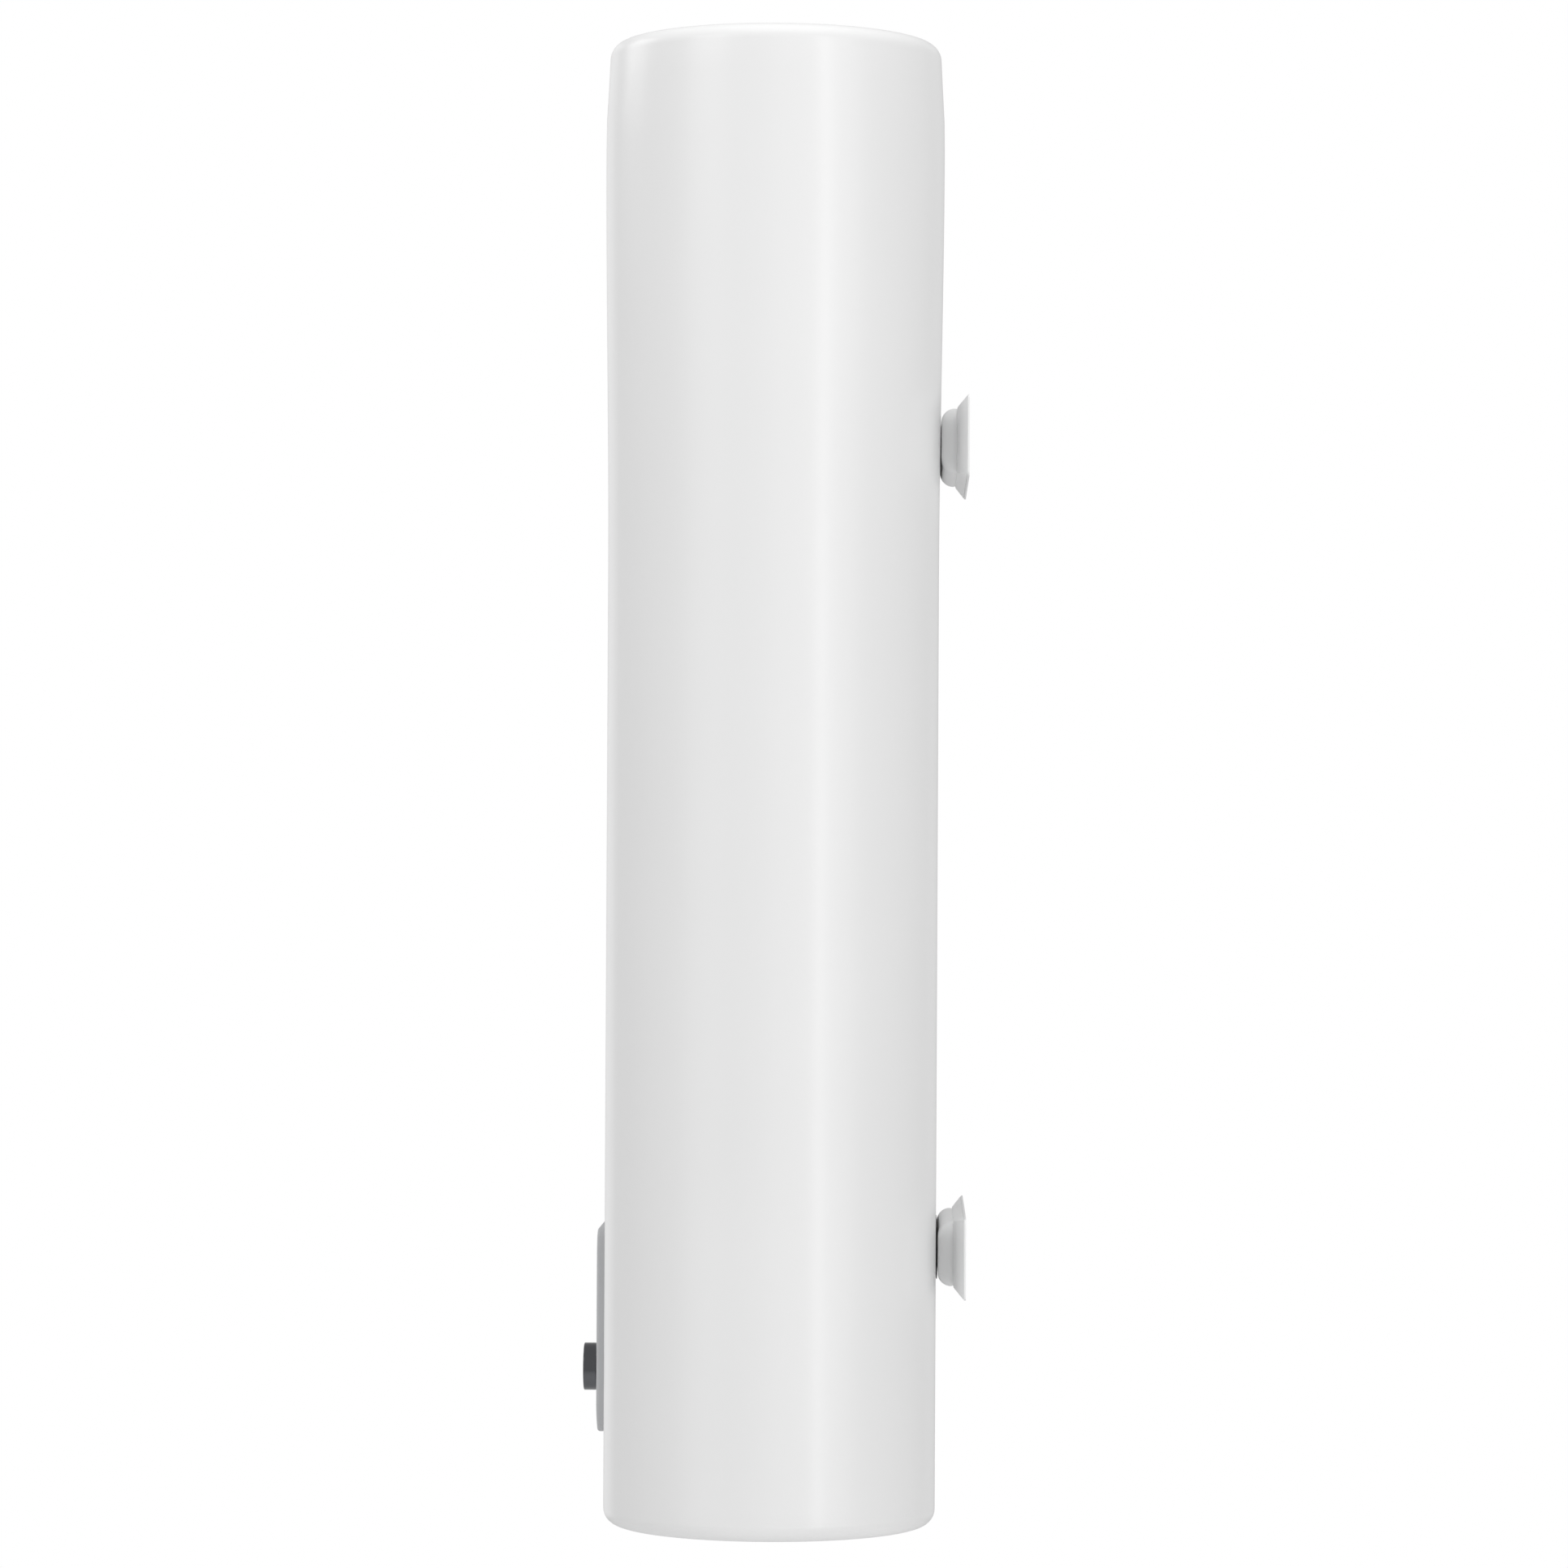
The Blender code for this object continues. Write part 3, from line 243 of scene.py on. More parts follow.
def makeFinish(slot, put):
    # patterns are textures on the object's own coordinates, and maths are sums on them and on
    # X, Y and Z; colours, ink, gloss and bumps each take one of these by name
    material = bpy.data.materials.new(put["name"])
    material.use_nodes = True
    tree = material.node_tree
    surface = tree.nodes["Principled BSDF"]
    surface.inputs["Base Color"].default_value = toLinear(put["colour"])
    for socket, value in put["shader"].items():
        surface.inputs[socket].default_value = value
    place = addNode(tree, "ShaderNodeTexCoord").outputs["Object"]
    apart = addNode(tree, "ShaderNodeSeparateXYZ", {}, {0: place}).outputs
    known = {axis: apart[axis] for axis in "XYZ"}
    if "stretch" in put:
        place = addNode(tree, "ShaderNodeMapping", {"Scale": put["stretch"]},
                        {"Vector": place}).outputs[0]
    for name, (kind, output, settings) in put.get("patterns", {}).items():
        texture = addNode(tree, "ShaderNodeTex" + kind, settings, {"Vector": place})
        known[name] = texture.outputs[output]
    for name, work, *terms in put.get("maths", ()):
        fixed = {i: term for i, term in enumerate(terms) if not isinstance(term, str)}
        linked = {i: known[term] for i, term in enumerate(terms) if isinstance(term, str)}
        known[name] = addNode(tree, "ShaderNodeMath", {"operation": work, **fixed},
                              linked).outputs[0]
    if "colours" in put:
        pattern, dark, light = put["colours"]
        tinted = addNode(tree, "ShaderNodeMix",
                         {"data_type": "RGBA", 6: toLinear(dark), 7: toLinear(light)},
                         {0: known[pattern]}).outputs[2]
        if "ink" in put:
            pattern, dark = put["ink"]
            tinted = addNode(tree, "ShaderNodeMix", {"data_type": "RGBA", 7: toLinear(dark)},
                             {0: known[pattern], 6: tinted}).outputs[2]
        tree.links.new(tinted, surface.inputs["Base Color"])
    if "gloss" in put:
        pattern, low, high = put["gloss"]
        rough = addNode(tree, "ShaderNodeMapRange", {"To Min": low, "To Max": high},
                        {"Value": known[pattern]})
        tree.links.new(rough.outputs[0], surface.inputs["Roughness"])
    before = {}
    for pattern, depth in put.get("bumps", ()):
        bumped = addNode(tree, "ShaderNodeBump", {"Strength": 1.0, "Distance": depth},
                         {"Height": known[pattern], **before})
        before = {"Normal": bumped.outputs[0]}
        tree.links.new(bumped.outputs[0], surface.inputs["Normal"])
    finishes[slot] = material


# sheet steel, sprayed and stoved: satin white, with orange peel 2 to 3 mm across that breaks up
# the reflections, and slow changes of gloss
makeFinish("white_enamel", {
    "name": "stove enamel on sheet steel",
    "colour": "EFEFEF",
    "shader": {"Roughness": 0.30, "IOR": 1.5, "Coat Weight": 0.25, "Coat Roughness": 0.22},
    "patterns": {"cloud": noiseOf(140, 1.0), "gloss": noiseOf(45, 3.0),
                 "peel": noiseOf(2.6, 2.0, 0.4)},
    "colours": ("cloud", "EEEEEE", "F1F1F1"),
    "gloss": ("gloss", 0.27, 0.34),
    "bumps": (("peel", 0.00003), ("cloud", 0.0003)),
})

# pale powder coat on pressed steel: matt, with a fine even grit under a millimetre
makeFinish("grey_paint", {
    "name": "pale powder coat",
    "colour": "F3F3F3",
    "shader": {"Roughness": 0.34, "IOR": 1.5},
    "patterns": {"grit": noiseOf(0.9, 2.0, 0.6), "cloud": noiseOf(30, 2.0)},
    "colours": ("cloud", "F0F1F1", "F6F6F6"),
    "bumps": (("grit", 0.00004),),
})

# white ABS with a fine spark-eroded grain: soft sheen, slightly warm
makeFinish("white_plastic", {
    "name": "white moulded ABS",
    "colour": "E9E9E7",
    "shader": {"Roughness": 0.36, "IOR": 1.53},
    "patterns": {"cloud": noiseOf(25, 1.0), "grain": noiseOf(0.5, 1.0)},
    "colours": ("cloud", "E7E7E5", "EBEBE9"),
    "bumps": (("grain", 0.000015),),
})

dialSet = {
    "start": 0.125,  # of a turn, from straight down to the first tick
    "step": 0.075,  # of a turn, from tick to tick
    "slack": 0.005,
    "tickHalf": 0.00035,
    "tickInner": 0.0225,
    "tickOuter": 0.0258,
    "wedgeInner": 0.0274,
    "wedgeThin": 0.0271,
    "wedgeGrowth": 0.0026,  # a turn
    "facing": 0.006,  # the ink is only on what stands this far in front of the body
}

# silver grey ABS, moulded with a fine grain and a printed dial round the knob: the ticks and the
# wedge that thickens towards hot are darker, flatter ink; turn grows clockwise from straight
# down, seen from the front
makeFinish("grey_plastic", {
    "name": "grey moulded ABS",
    "colour": "BCBDBF",
    "shader": {"Roughness": 0.42, "IOR": 1.53},
    "patterns": {"cloud": noiseOf(20, 1.0), "grain": noiseOf(0.45, 1.0)},
    "maths": (
        ("up", "SUBTRACT", "Z", knobZ),
        ("squareX", "MULTIPLY", "X", "X"),
        ("squareUp", "MULTIPLY", "up", "up"),
        ("square", "ADD", "squareX", "squareUp"),
        ("radius", "SQRT", "square"),
        ("left", "MULTIPLY", "X", -1),
        ("down", "MULTIPLY", "up", -1),
        ("angle", "ARCTAN2", "left", "down"),
        ("share", "DIVIDE", "angle", 2 * math.pi),
        ("ahead", "ADD", "share", 1.0),
        ("turn", "FRACT", "ahead"),
        ("begun", "GREATER_THAN", "turn", dialSet["start"] - dialSet["slack"]),
        ("unfinished", "LESS_THAN", "turn", 1 - dialSet["start"] + dialSet["slack"]),
        ("onDial", "MULTIPLY", "begun", "unfinished"),
        ("past", "SUBTRACT", "turn", dialSet["start"]),
        ("count", "DIVIDE", "past", dialSet["step"]),
        ("shifted", "ADD", "count", 0.5),
        ("within", "FRACT", "shifted"),
        ("aside", "SUBTRACT", "within", 0.5),
        ("offTick", "ABSOLUTE", "aside"),
        ("stepLength", "MULTIPLY", "radius", dialSet["step"] * 2 * math.pi),
        ("offLength", "MULTIPLY", "offTick", "stepLength"),
        ("tickArc", "LESS_THAN", "offLength", dialSet["tickHalf"]),
        ("tickFrom", "GREATER_THAN", "radius", dialSet["tickInner"]),
        ("tickTo", "LESS_THAN", "radius", dialSet["tickOuter"]),
        ("tickRun", "MULTIPLY", "tickFrom", "tickTo"),
        ("tick", "MULTIPLY", "tickArc", "tickRun"),
        ("ticks", "MULTIPLY", "tick", "onDial"),
        ("growth", "MULTIPLY", "turn", dialSet["wedgeGrowth"]),
        ("wedgeEnd", "ADD", "growth", dialSet["wedgeThin"]),
        ("wedgeFrom", "GREATER_THAN", "radius", dialSet["wedgeInner"]),
        ("wedgeTo", "LESS_THAN", "radius", "wedgeEnd"),
        ("wedgeRun", "MULTIPLY", "wedgeFrom", "wedgeTo"),
        ("wedge", "MULTIPLY", "wedgeRun", "onDial"),
        ("marks", "MAXIMUM", "ticks", "wedge"),
        ("forward", "LESS_THAN", "Y", frontY - dialSet["facing"]),
        ("printed", "MULTIPLY", "marks", "forward"),
    ),
    "colours": ("cloud", "BABBBD", "C0C1C3"),
    "ink": ("printed", "4A4C4F"),
    "gloss": ("printed", 0.42, 0.55),
    "bumps": (("grain", 0.00002),),
})

# smoked acrylic, polished: near black, with the paler display just showing through
displaySet = {"halfX": 0.024, "halfZ": 0.013}
makeFinish("dark_plastic", {
    "name": "smoked acrylic",
    "colour": "0E1011",
    "shader": {"Roughness": 0.06, "IOR": 1.49, "Coat Weight": 0.4, "Coat Roughness": 0.03},
    "maths": (
        ("sideways", "ABSOLUTE", "X"),
        ("insideX", "LESS_THAN", "sideways", displaySet["halfX"]),
        ("insideZ", "COMPARE", "Z", windowZ, displaySet["halfZ"]),
        ("inside", "MULTIPLY", "insideX", "insideZ"),
    ),
    "colours": ("inside", "0E1011", "1B1F20"),
})

# black EPDM pad: dull, with a fine open grain
makeFinish("black_rubber", {
    "name": "black EPDM rubber",
    "colour": "161616",
    "shader": {"Roughness": 0.75, "IOR": 1.52},
    "patterns": {"cloud": noiseOf(8, 2.0), "grain": noiseOf(0.7, 2.0)},
    "colours": ("cloud", "121212", "1C1C1C"),
    "bumps": (("grain", 0.00005),),
})

# chrome plate, given a dark base colour as painted reflection of dark surroundings: mirror-like,
# with fine turned lines that stretch reflections
makeFinish("chrome", {
    "name": "chrome plate darkened as painted reflection",
    # the dark grey here is painted dark reflection, not the plate's own colour
    "colour": "66676A",
    "shader": {"Metallic": 1.0, "Roughness": 0.14},
    "stretch": (1, 26, 1),
    "patterns": {"lines": noiseOf(4, 2.0)},
    "gloss": ("lines", 0.10, 0.17),
})

# bright zinc plate, passivated: grey with faint cloudy patches
makeFinish("zinc_steel", {
    "name": "passivated zinc plate",
    "colour": "BFC1C0",
    "shader": {"Metallic": 1.0, "Roughness": 0.32},
    "patterns": {"cloud": noiseOf(6, 3.0), "grain": noiseOf(1.0, 1.0)},
    "colours": ("cloud", "ABAEAD", "CBCCC8"),
    "gloss": ("cloud", 0.26, 0.42),
    "bumps": (("grain", 0.00001),),
})

# drawn copper, dulled by heat
makeFinish("copper", {
    "name": "heat-dulled copper",
    "colour": "D08A63",
    "shader": {"Metallic": 1.0, "Roughness": 0.36},
    "patterns": {"stain": noiseOf(9, 3.0)},
    "colours": ("stain", "9C5C40", "D9966D"),
    "gloss": ("stain", 0.46, 0.28),
})

# cast magnesium rod: pale matt grey, slightly chalky
makeFinish("magnesium", {
    "name": "cast magnesium",
    "colour": "A8A9A8",
    "shader": {"Metallic": 1.0, "Roughness": 0.6},
    "patterns": {"chalk": noiseOf(3, 3.0)},
    "colours": ("chalk", "8F908F", "B9BAB8"),
    "bumps": (("chalk", 0.0001),),
})

# cobalt glass enamel fired on steel: deep blue, glossy, with small dark specks
makeFinish("tank_enamel", {
    "name": "cobalt glass enamel",
    "colour": "1C2F55",
    "shader": {"Roughness": 0.14, "IOR": 1.52, "Coat Weight": 0.5, "Coat Roughness": 0.06},
    "patterns": {"speck": ("Voronoi", "Distance", {"Scale": 1000 / 3.5}),
                 "flow": noiseOf(4, 1.0)},
    "maths": (("clear", "MULTIPLY", "speck", 1.6),),
    "colours": ("clear", "10182B", "203763"),
    "bumps": (("flow", 0.00008),),
})

# moulded polyurethane foam: honey-coloured, matt, with closed cells over a millimetre wide
makeFinish("foam", {
    "name": "polyurethane foam",
    "colour": "E4CE93",
    "shader": {"Roughness": 0.92, "IOR": 1.45},
    "patterns": {"cell": ("Voronoi", "Distance", {"Scale": 1000 / 1.4}),
                 "cloud": noiseOf(30, 3.0)},
    "colours": ("cloud", "D9BE7F", "EBD9A4"),
    "bumps": (("cell", 0.0003),),
})

# coloured polyethylene: waxy, slightly translucent
for slotName, finishName, dark, light in (
        ("red_plastic", "red polyethylene", "8E1512", "A81C17"),
        ("blue_plastic", "blue polyethylene", "163C86", "1E4C9E")):
    makeFinish(slotName, {
        "name": finishName,
        "colour": light,
        "shader": {"Roughness": 0.38, "IOR": 1.5, "Subsurface Weight": 0.08,
                   "Subsurface Scale": 0.004},
        "patterns": {"cloud": noiseOf(5, 2.0), "grain": noiseOf(0.5, 1.0)},
        "colours": ("cloud", dark, light),
        "bumps": (("grain", 0.00002),),
    })

# solder mask over copper tracks about 2 mm apart, which show as paler raised lines
makeFinish("board_green", {
    "name": "green solder mask",
    "colour": "0F5A34",
    "shader": {"Roughness": 0.3, "IOR": 1.5},
    "patterns": {"wave": ("Wave", "Fac",
                          {"Scale": 1000 / 2 / 20, "Distortion": 6.0, "Detail": 0.0})},
    "maths": (("track", "GREATER_THAN", "wave", 0.55),),
    "colours": ("track", "0B4A2A", "1C7A48"),
    "bumps": (("track", 0.00004),),
})
print("stage: finishes made,", len(finishes))


# ---- jacket, top and bottom

jacketSet = {
    "edgeRadius": 0.012,
    "topLip": 0.010,
    "bottomLip": 0.003,
    "sheet": 0.0008,
    "arcSteps": 72,
    "edgeSteps": 8,
    "gap": 0.0003,
    "softEdge": 0.0002,
    "endMargin": 0.012,
    "flatHalf": 0.084,
    "swell": 0.0030,
    "swellDrop": 0.075,  # from the top down to the fullest height
    "swellLength": 0.34,
}

traySet = {"sheet": 0.0012, "corner": 0.006, "rimRise": 0.0005, "wallRise": 0.012}
plateX = np.linspace(-0.07, 0.07, 9)


def bodyRings(alongX):
    halfY = (backY - frontY) / 2
    return roundedRing(bodyHigh[0], halfY, halfY, jacketSet["arcSteps"], alongX)


def bodyRing(core, normal, inset):
    # the body's outline moved in by inset, in the room's X and Y
    halfY = (backY - frontY) / 2
    return core + (halfY - inset) * normal + bodyMiddle[:2]


def makeJacket():
    # the stadium outline carried up a profile of (inset, height) that turns in at both ends;
    # the cells over the panel's opening are left out
    put = jacketSet
    houseLow, houseHigh = boxOf("control_housing")
    slack = 2 * put["gap"]
    openX = houseHigh[0] + slack
    openLow, openHigh = houseLow[2] - slack, houseHigh[2] + slack
    alongX = np.unique(np.round(np.concatenate([
        np.linspace(-put["flatHalf"], -openX, 5), np.linspace(-openX, openX, 9),
        np.linspace(openX, put["flatHalf"], 5)]), 6))
    core, normal = bodyRings(alongX)
    radius = put["edgeRadius"]
    run, rise = roundCorner(radius, put["edgeSteps"])
    wall = np.unique(np.round(np.concatenate([
        np.linspace(bodyBottom + put["endMargin"], openLow, 6)[1:],
        np.linspace(openLow, openHigh, 8),
        np.linspace(openHigh, bodyTop - put["endMargin"], 40)[:-1]]), 6))
    insets = np.concatenate([
        [radius + put["bottomLip"]], run[::-1], np.zeros(len(wall)), run,
        [radius + put["topLip"]]])
    heights = np.concatenate([
        [bodyBottom], bodyBottom + rise[::-1], wall, bodyTop - rise, [bodyTop]])
    rings = [bodyRing(core, normal, inset) for inset in insets]
    points = liftRings(rings, heights)
    # it swells in depth by half a cosine wave up to its fullest height, and back by the top
    fullest = bodyTop - put["swellDrop"]
    under = np.clip((fullest - points[..., 2]) / put["swellLength"], 0, 1)
    over = np.clip((points[..., 2] - fullest) / put["swellDrop"], 0, 1)
    share = (1 + np.cos(np.pi * (under + over))) / 2 * put["swell"] * 2 / (backY - frontY)
    points[..., 1] += (points[..., 1] - bodyMiddle[1]) * share
    middle = (points[:-1] + points[1:]) / 2
    across = (middle + np.roll(middle, -1, 1)) / 2
    inOpening = ((np.abs(across[..., 0]) < openX) & (across[..., 1] < bodyMiddle[1])
                 & (across[..., 2] > openLow) & (across[..., 2] < openHigh))
    mesh = gridMesh("jacket_shell", points, keep=~inOpening)
    return addPiece("jacket_shell", mesh, "white_enamel", node="jacket",
                    wall=put["sheet"], smooth=30)


def makeTopCover():
    # flat plate inside the jacket's turned-in top, with its edges taken off at 45 degrees
    core, normal = bodyRings(plateX)
    inset = jacketSet["edgeRadius"] + jacketSet["topLip"] + jacketSet["gap"]
    low, soft = bodyTop - jacketSet["sheet"], jacketSet["softEdge"]
    insets = [inset + soft, inset, inset, inset + soft]
    heights = [low, low + soft, bodyTop - soft, bodyTop]
    points = liftRings([bodyRing(core, normal, i) for i in insets], heights)
    mesh = gridMesh("top_plate", points, lowCap=True, highCap=True)
    return addPiece("top_plate", mesh, "white_enamel", node="top_cover")


def makeBottomTray():
    # the outline carried from the rim up into the recess, round a corner and across
    put = traySet
    core, normal = bodyRings(plateX)
    outer = jacketSet["edgeRadius"] + jacketSet["bottomLip"] + jacketSet["gap"] + put["sheet"]
    run, rise = roundCorner(put["corner"], 6)
    insets = np.concatenate([[outer, outer], outer + run])
    heights = np.concatenate([
        [bodyBottom + put["rimRise"], bodyBottom + put["wallRise"]],
        capZ + jacketSet["gap"] - rise])
    points = liftRings([bodyRing(core, normal, i) for i in insets], heights)[:, ::-1]
    mesh = gridMesh("bottom_tray", points, highCap=True)
    return addPiece("bottom_tray", mesh, "white_enamel", node="bottom_cap", wall=put["sheet"])


makeJacket()
makeTopCover()
makeBottomTray()
print("stage: jacket, top plate and bottom tray made")


# ---- wall brackets, pads and bolts

bracketSet = {
    "panLength": 0.182,
    "panHeight": 0.050,
    "panCorner": 0.0115,
    "baseRadius": 0.0105,
    "endShare": 0.28,
    "rimLength": 0.292,
    "rimHeight": 0.062,
    "rimCorner": 0.004,
    "flareDepth": 0.0085,
    "lipDepth": 0.0012,
    "fold": 0.0005,
    "press": 0.0012,
    "sheet": 0.0015,
    "slotWidth": 0.011,
    "slotPitch": 0.044,
    "slotLow": 0.006,
    "slotHigh": 0.0135,
    "flatHalf": 0.078,
    "sideHalf": 0.007,
    "rimShare": 1.6,
}


def makeBracket(side, hooked):
    # two outlines, the pan's and the wider rim's, with the same points on each: the surface
    # follows the pan's over a rounded base and up its wall, then runs straight to the rim's
    node = side + "_bracket"
    low, high = boxOf(node)
    depth = high[1] - low[1]
    put = bracketSet
    slots = (np.arange(4) - 1.5) * put["slotPitch"]
    edges = np.concatenate([slots - put["slotWidth"] / 2, slots + put["slotWidth"] / 2])
    flatX = np.linspace(-put["flatHalf"], put["flatHalf"], 5)
    alongPan = np.sort(np.concatenate([edges, slots, flatX]))
    straight = put["panLength"] / 2 - put["panCorner"]
    rimStraight = put["rimLength"] / 2 - put["rimCorner"]
    alongRim = alongPan / straight * rimStraight
    alongSide = np.array([-1.0, 0.0, 1.0]) * put["sideHalf"]
    panCore, panNormal = roundedRing(put["panLength"] / 2, put["panHeight"] / 2,
                                     put["panCorner"], 8, alongPan, alongSide)
    rimCore, rimNormal = roundedRing(put["rimLength"] / 2, put["rimHeight"] / 2,
                                     put["rimCorner"], 8, alongRim, alongSide * put["rimShare"])
    pan = panCore + put["panCorner"] * panNormal
    rim = rimCore + put["rimCorner"] * rimNormal
    wallEnd = depth - put["flareDepth"] - put["lipDepth"]
    run, rise = roundCorner(put["baseRadius"], 8)
    ends = np.array([put["endShare"], 1.0])
    base = [pan - inset * panNormal * ends for inset in run[::-1]]
    rows = list(zip(base, rise[::-1]))
    fold = put["fold"]
    rows.append((pan - fold * panNormal, wallEnd + fold))
    for share in (0.10, 0.23, 0.5, 0.75, 0.9):
        rows.append((pan + share * (rim - pan), wallEnd + share * put["flareDepth"]))
    # a pressed line, then the lip that stands square to the wall
    pressed = rimCore + (put["rimCorner"] - put["press"]) * rimNormal
    rows.append((pressed, wallEnd + put["flareDepth"] * 0.93))
    rows.append((rim, wallEnd + put["flareDepth"]))
    rows.append((rim, depth))
    heights = [z for ring, z in rows]
    points = liftRings([ring for ring, z in rows], heights)
    keep = None
    if hooked:
        middle = (points[:-1] + points[1:]) / 2
        centre = (middle + np.roll(middle, -1, 1)) / 2
        panX = np.abs(centre[..., 0][:1])
        rowZ = centre[..., 2]
        nearSlot = np.min(np.abs(panX[..., None] - np.abs(slots)), -1) < put["slotWidth"] / 2
        upper = panNormal[:, 1] < -0.99
        upper = upper & np.roll(upper, -1)
        keep = ~((nearSlot & upper[None, :])
                 & (rowZ > put["slotLow"]) & (rowZ < put["slotHigh"]))
    place = (0, low[1], (low[2] + high[2]) / 2)
    mesh = gridMesh(side + "_wall_bracket", toWall(points, place), lowCap=True, keep=keep)
    return addPiece(side + "_wall_bracket", mesh, "grey_paint", node=node,
                    wall=put["sheet"], evenWall=False, smooth=28)


padSet = {"corner": 0.004, "softEdge": 0.00025}


def makePad(side):
    # flat pad with its edges taken off by a quarter of a millimetre
    low, high = boxOf(side + "_pad")
    corner, soft = padSet["corner"], padSet["softEdge"]
    core, normal = roundedRing(high[0], (high[2] - low[2]) / 2, corner, 6)
    thick = high[1] - low[1]
    insets = [soft, 0, 0, soft]
    heights = [0, soft, thick - soft, thick]
    points = liftRings([core + (corner - inset) * normal for inset in insets], heights)
    place = (0, low[1], (low[2] + high[2]) / 2)
    mesh = gridMesh(side + "_rubber_pad", toWall(points, place), lowCap=True, highCap=True)
    return addPiece(side + "_rubber_pad", mesh, "black_rubber", node=side + "_pad")


def hexagon(radius, angle, across):
    # radius cut down to a hexagon with this distance from its middle to its flats
    folded = (angle + np.pi / 6) % (np.pi / 3) - np.pi / 6
    return np.minimum(radius, across / np.cos(folded))


boltSet = {
    "headHigh": 0.0053,
    "headRadius": 0.0075,
    "shank": 0.004,
    "tipChamfer": 0.0006,
    "underHead": 0.0002,
}


def makeMountBolt(node):
    # shank, then a hexagon head whose corners are turned off by a 30 degree chamfer
    low, high = boxOf(node)
    centre = (low + high) / 2
    reach = high[1] - low[1]
    headHigh, radius, shank = boltSet["headHigh"], boltSet["headRadius"], boltSet["shank"]
    tip = boltSet["tipChamfer"]
    flats = radius * math.cos(math.pi / 6)
    profile = np.array([
        (shank - tip, -(reach - headHigh)), (shank, tip - (reach - headHigh)),
        (shank, -boltSet["underHead"]), (shank, 0.0), (radius, 0.0), (radius, headHigh * 0.5),
        (radius, headHigh * 0.80), (flats * 0.97, headHigh - 0.0001), (flats * 0.9, headHigh),
        (flats * 0.45, headHigh)])

    def headShape(r, z, angle):
        headed = r > shank + 0.0001
        return np.where(headed, hexagon(r, angle, flats), r), z

    points = turnRound(profile, 48, headShape)
    turned = toWall(points, (centre[0], high[1] - headHigh, centre[2]))
    mesh = gridMesh(node + "_turned", turned, lowCap=True, highCap=True)
    return addPiece(node + "_turned", mesh, "zinc_steel", node=node, smooth=25)


makeBracket("upper", True)
makeBracket("lower", False)
for bracketSide in ("upper", "lower"):
    makePad(bracketSide)
    for boltEnd in ("left", "right"):
        makeMountBolt(f"{bracketSide}_{boltEnd}_mount_bolt")
print("stage: brackets, pads and bolts made")


# ---- what shows in the underside's recess

coverSet = {
    "corner": 0.016,
    "flange": 0.008,
    "wall": 0.002,
    "floorRadius": 0.004,
    "floorMargin": 0.006,
    "dishRadius": 0.0085,
    "dishDepth": 0.0008,
    "buttonHole": 0.0046,
}


def makeServiceCover():
    # flange, wall and rounded floor edge as insets of one outline; the floor then runs to the
    # dish of a round hole, each point moving along the line from the hole's middle outwards
    low, high = boxOf("service_cover")
    put = coverSet
    halfX = high[0] - put["flange"]
    halfY = (high[1] - low[1]) / 2 - put["flange"]
    depth = high[2] - low[2] - put["wall"]
    core, normal = roundedRing(halfX, halfY, put["corner"], 10,
                               np.linspace(-0.13, 0.13, 27), np.linspace(-0.03, 0.03, 7))
    ring = lambda inset: core + (put["corner"] - inset) * normal
    run, rise = roundCorner(put["floorRadius"], 6)
    rows = [(ring(-put["flange"]), -0.0012), (ring(-put["flange"]), -0.0003),
            (ring(-put["flange"] + 0.0003), 0.0), (ring(-0.0012), 0.0), (ring(-0.0004), 0.0004),
            (ring(0.0), 0.0012)]
    rows += [(ring(r + 0.0002), depth - z) for r, z in zip(run, rise)]
    rows.append((ring(put["floorRadius"] + put["floorMargin"]), depth))
    button = (boxOf("reset_button")[0] + boxOf("reset_button")[1]) / 2
    middle = np.array([button[0], -(button[1] - bodyMiddle[1])])
    away = rows[-1][0] - middle
    direction = away / np.linalg.norm(away, axis=1, keepdims=True)
    seatZ = depth - put["dishDepth"]
    seat = [(put["dishRadius"], depth), (put["dishRadius"] - 0.0015, seatZ),
            (put["buttonHole"] + 0.0003, seatZ), (put["buttonHole"], seatZ - 0.0003)]
    rows += [(middle + r * direction, z) for r, z in seat]
    points = liftRings([r for r, z in rows], [z for r, z in rows])
    place = (0, bodyMiddle[1], high[2] - put["wall"])
    mesh = gridMesh("service_lid", toFloor(points, place))
    return addPiece("service_lid", mesh, "white_plastic", node="service_cover",
                    wall=put["wall"], smooth=32)


screwSet = {
    "headHigh": 0.0018,
    "headRadius": 0.0034,
    "shank": 0.0018,
    "rim": 0.0004,
    "armHalf": 0.00042,
    "armLength": 0.0019,
    "crossDepth": 0.0010,
}


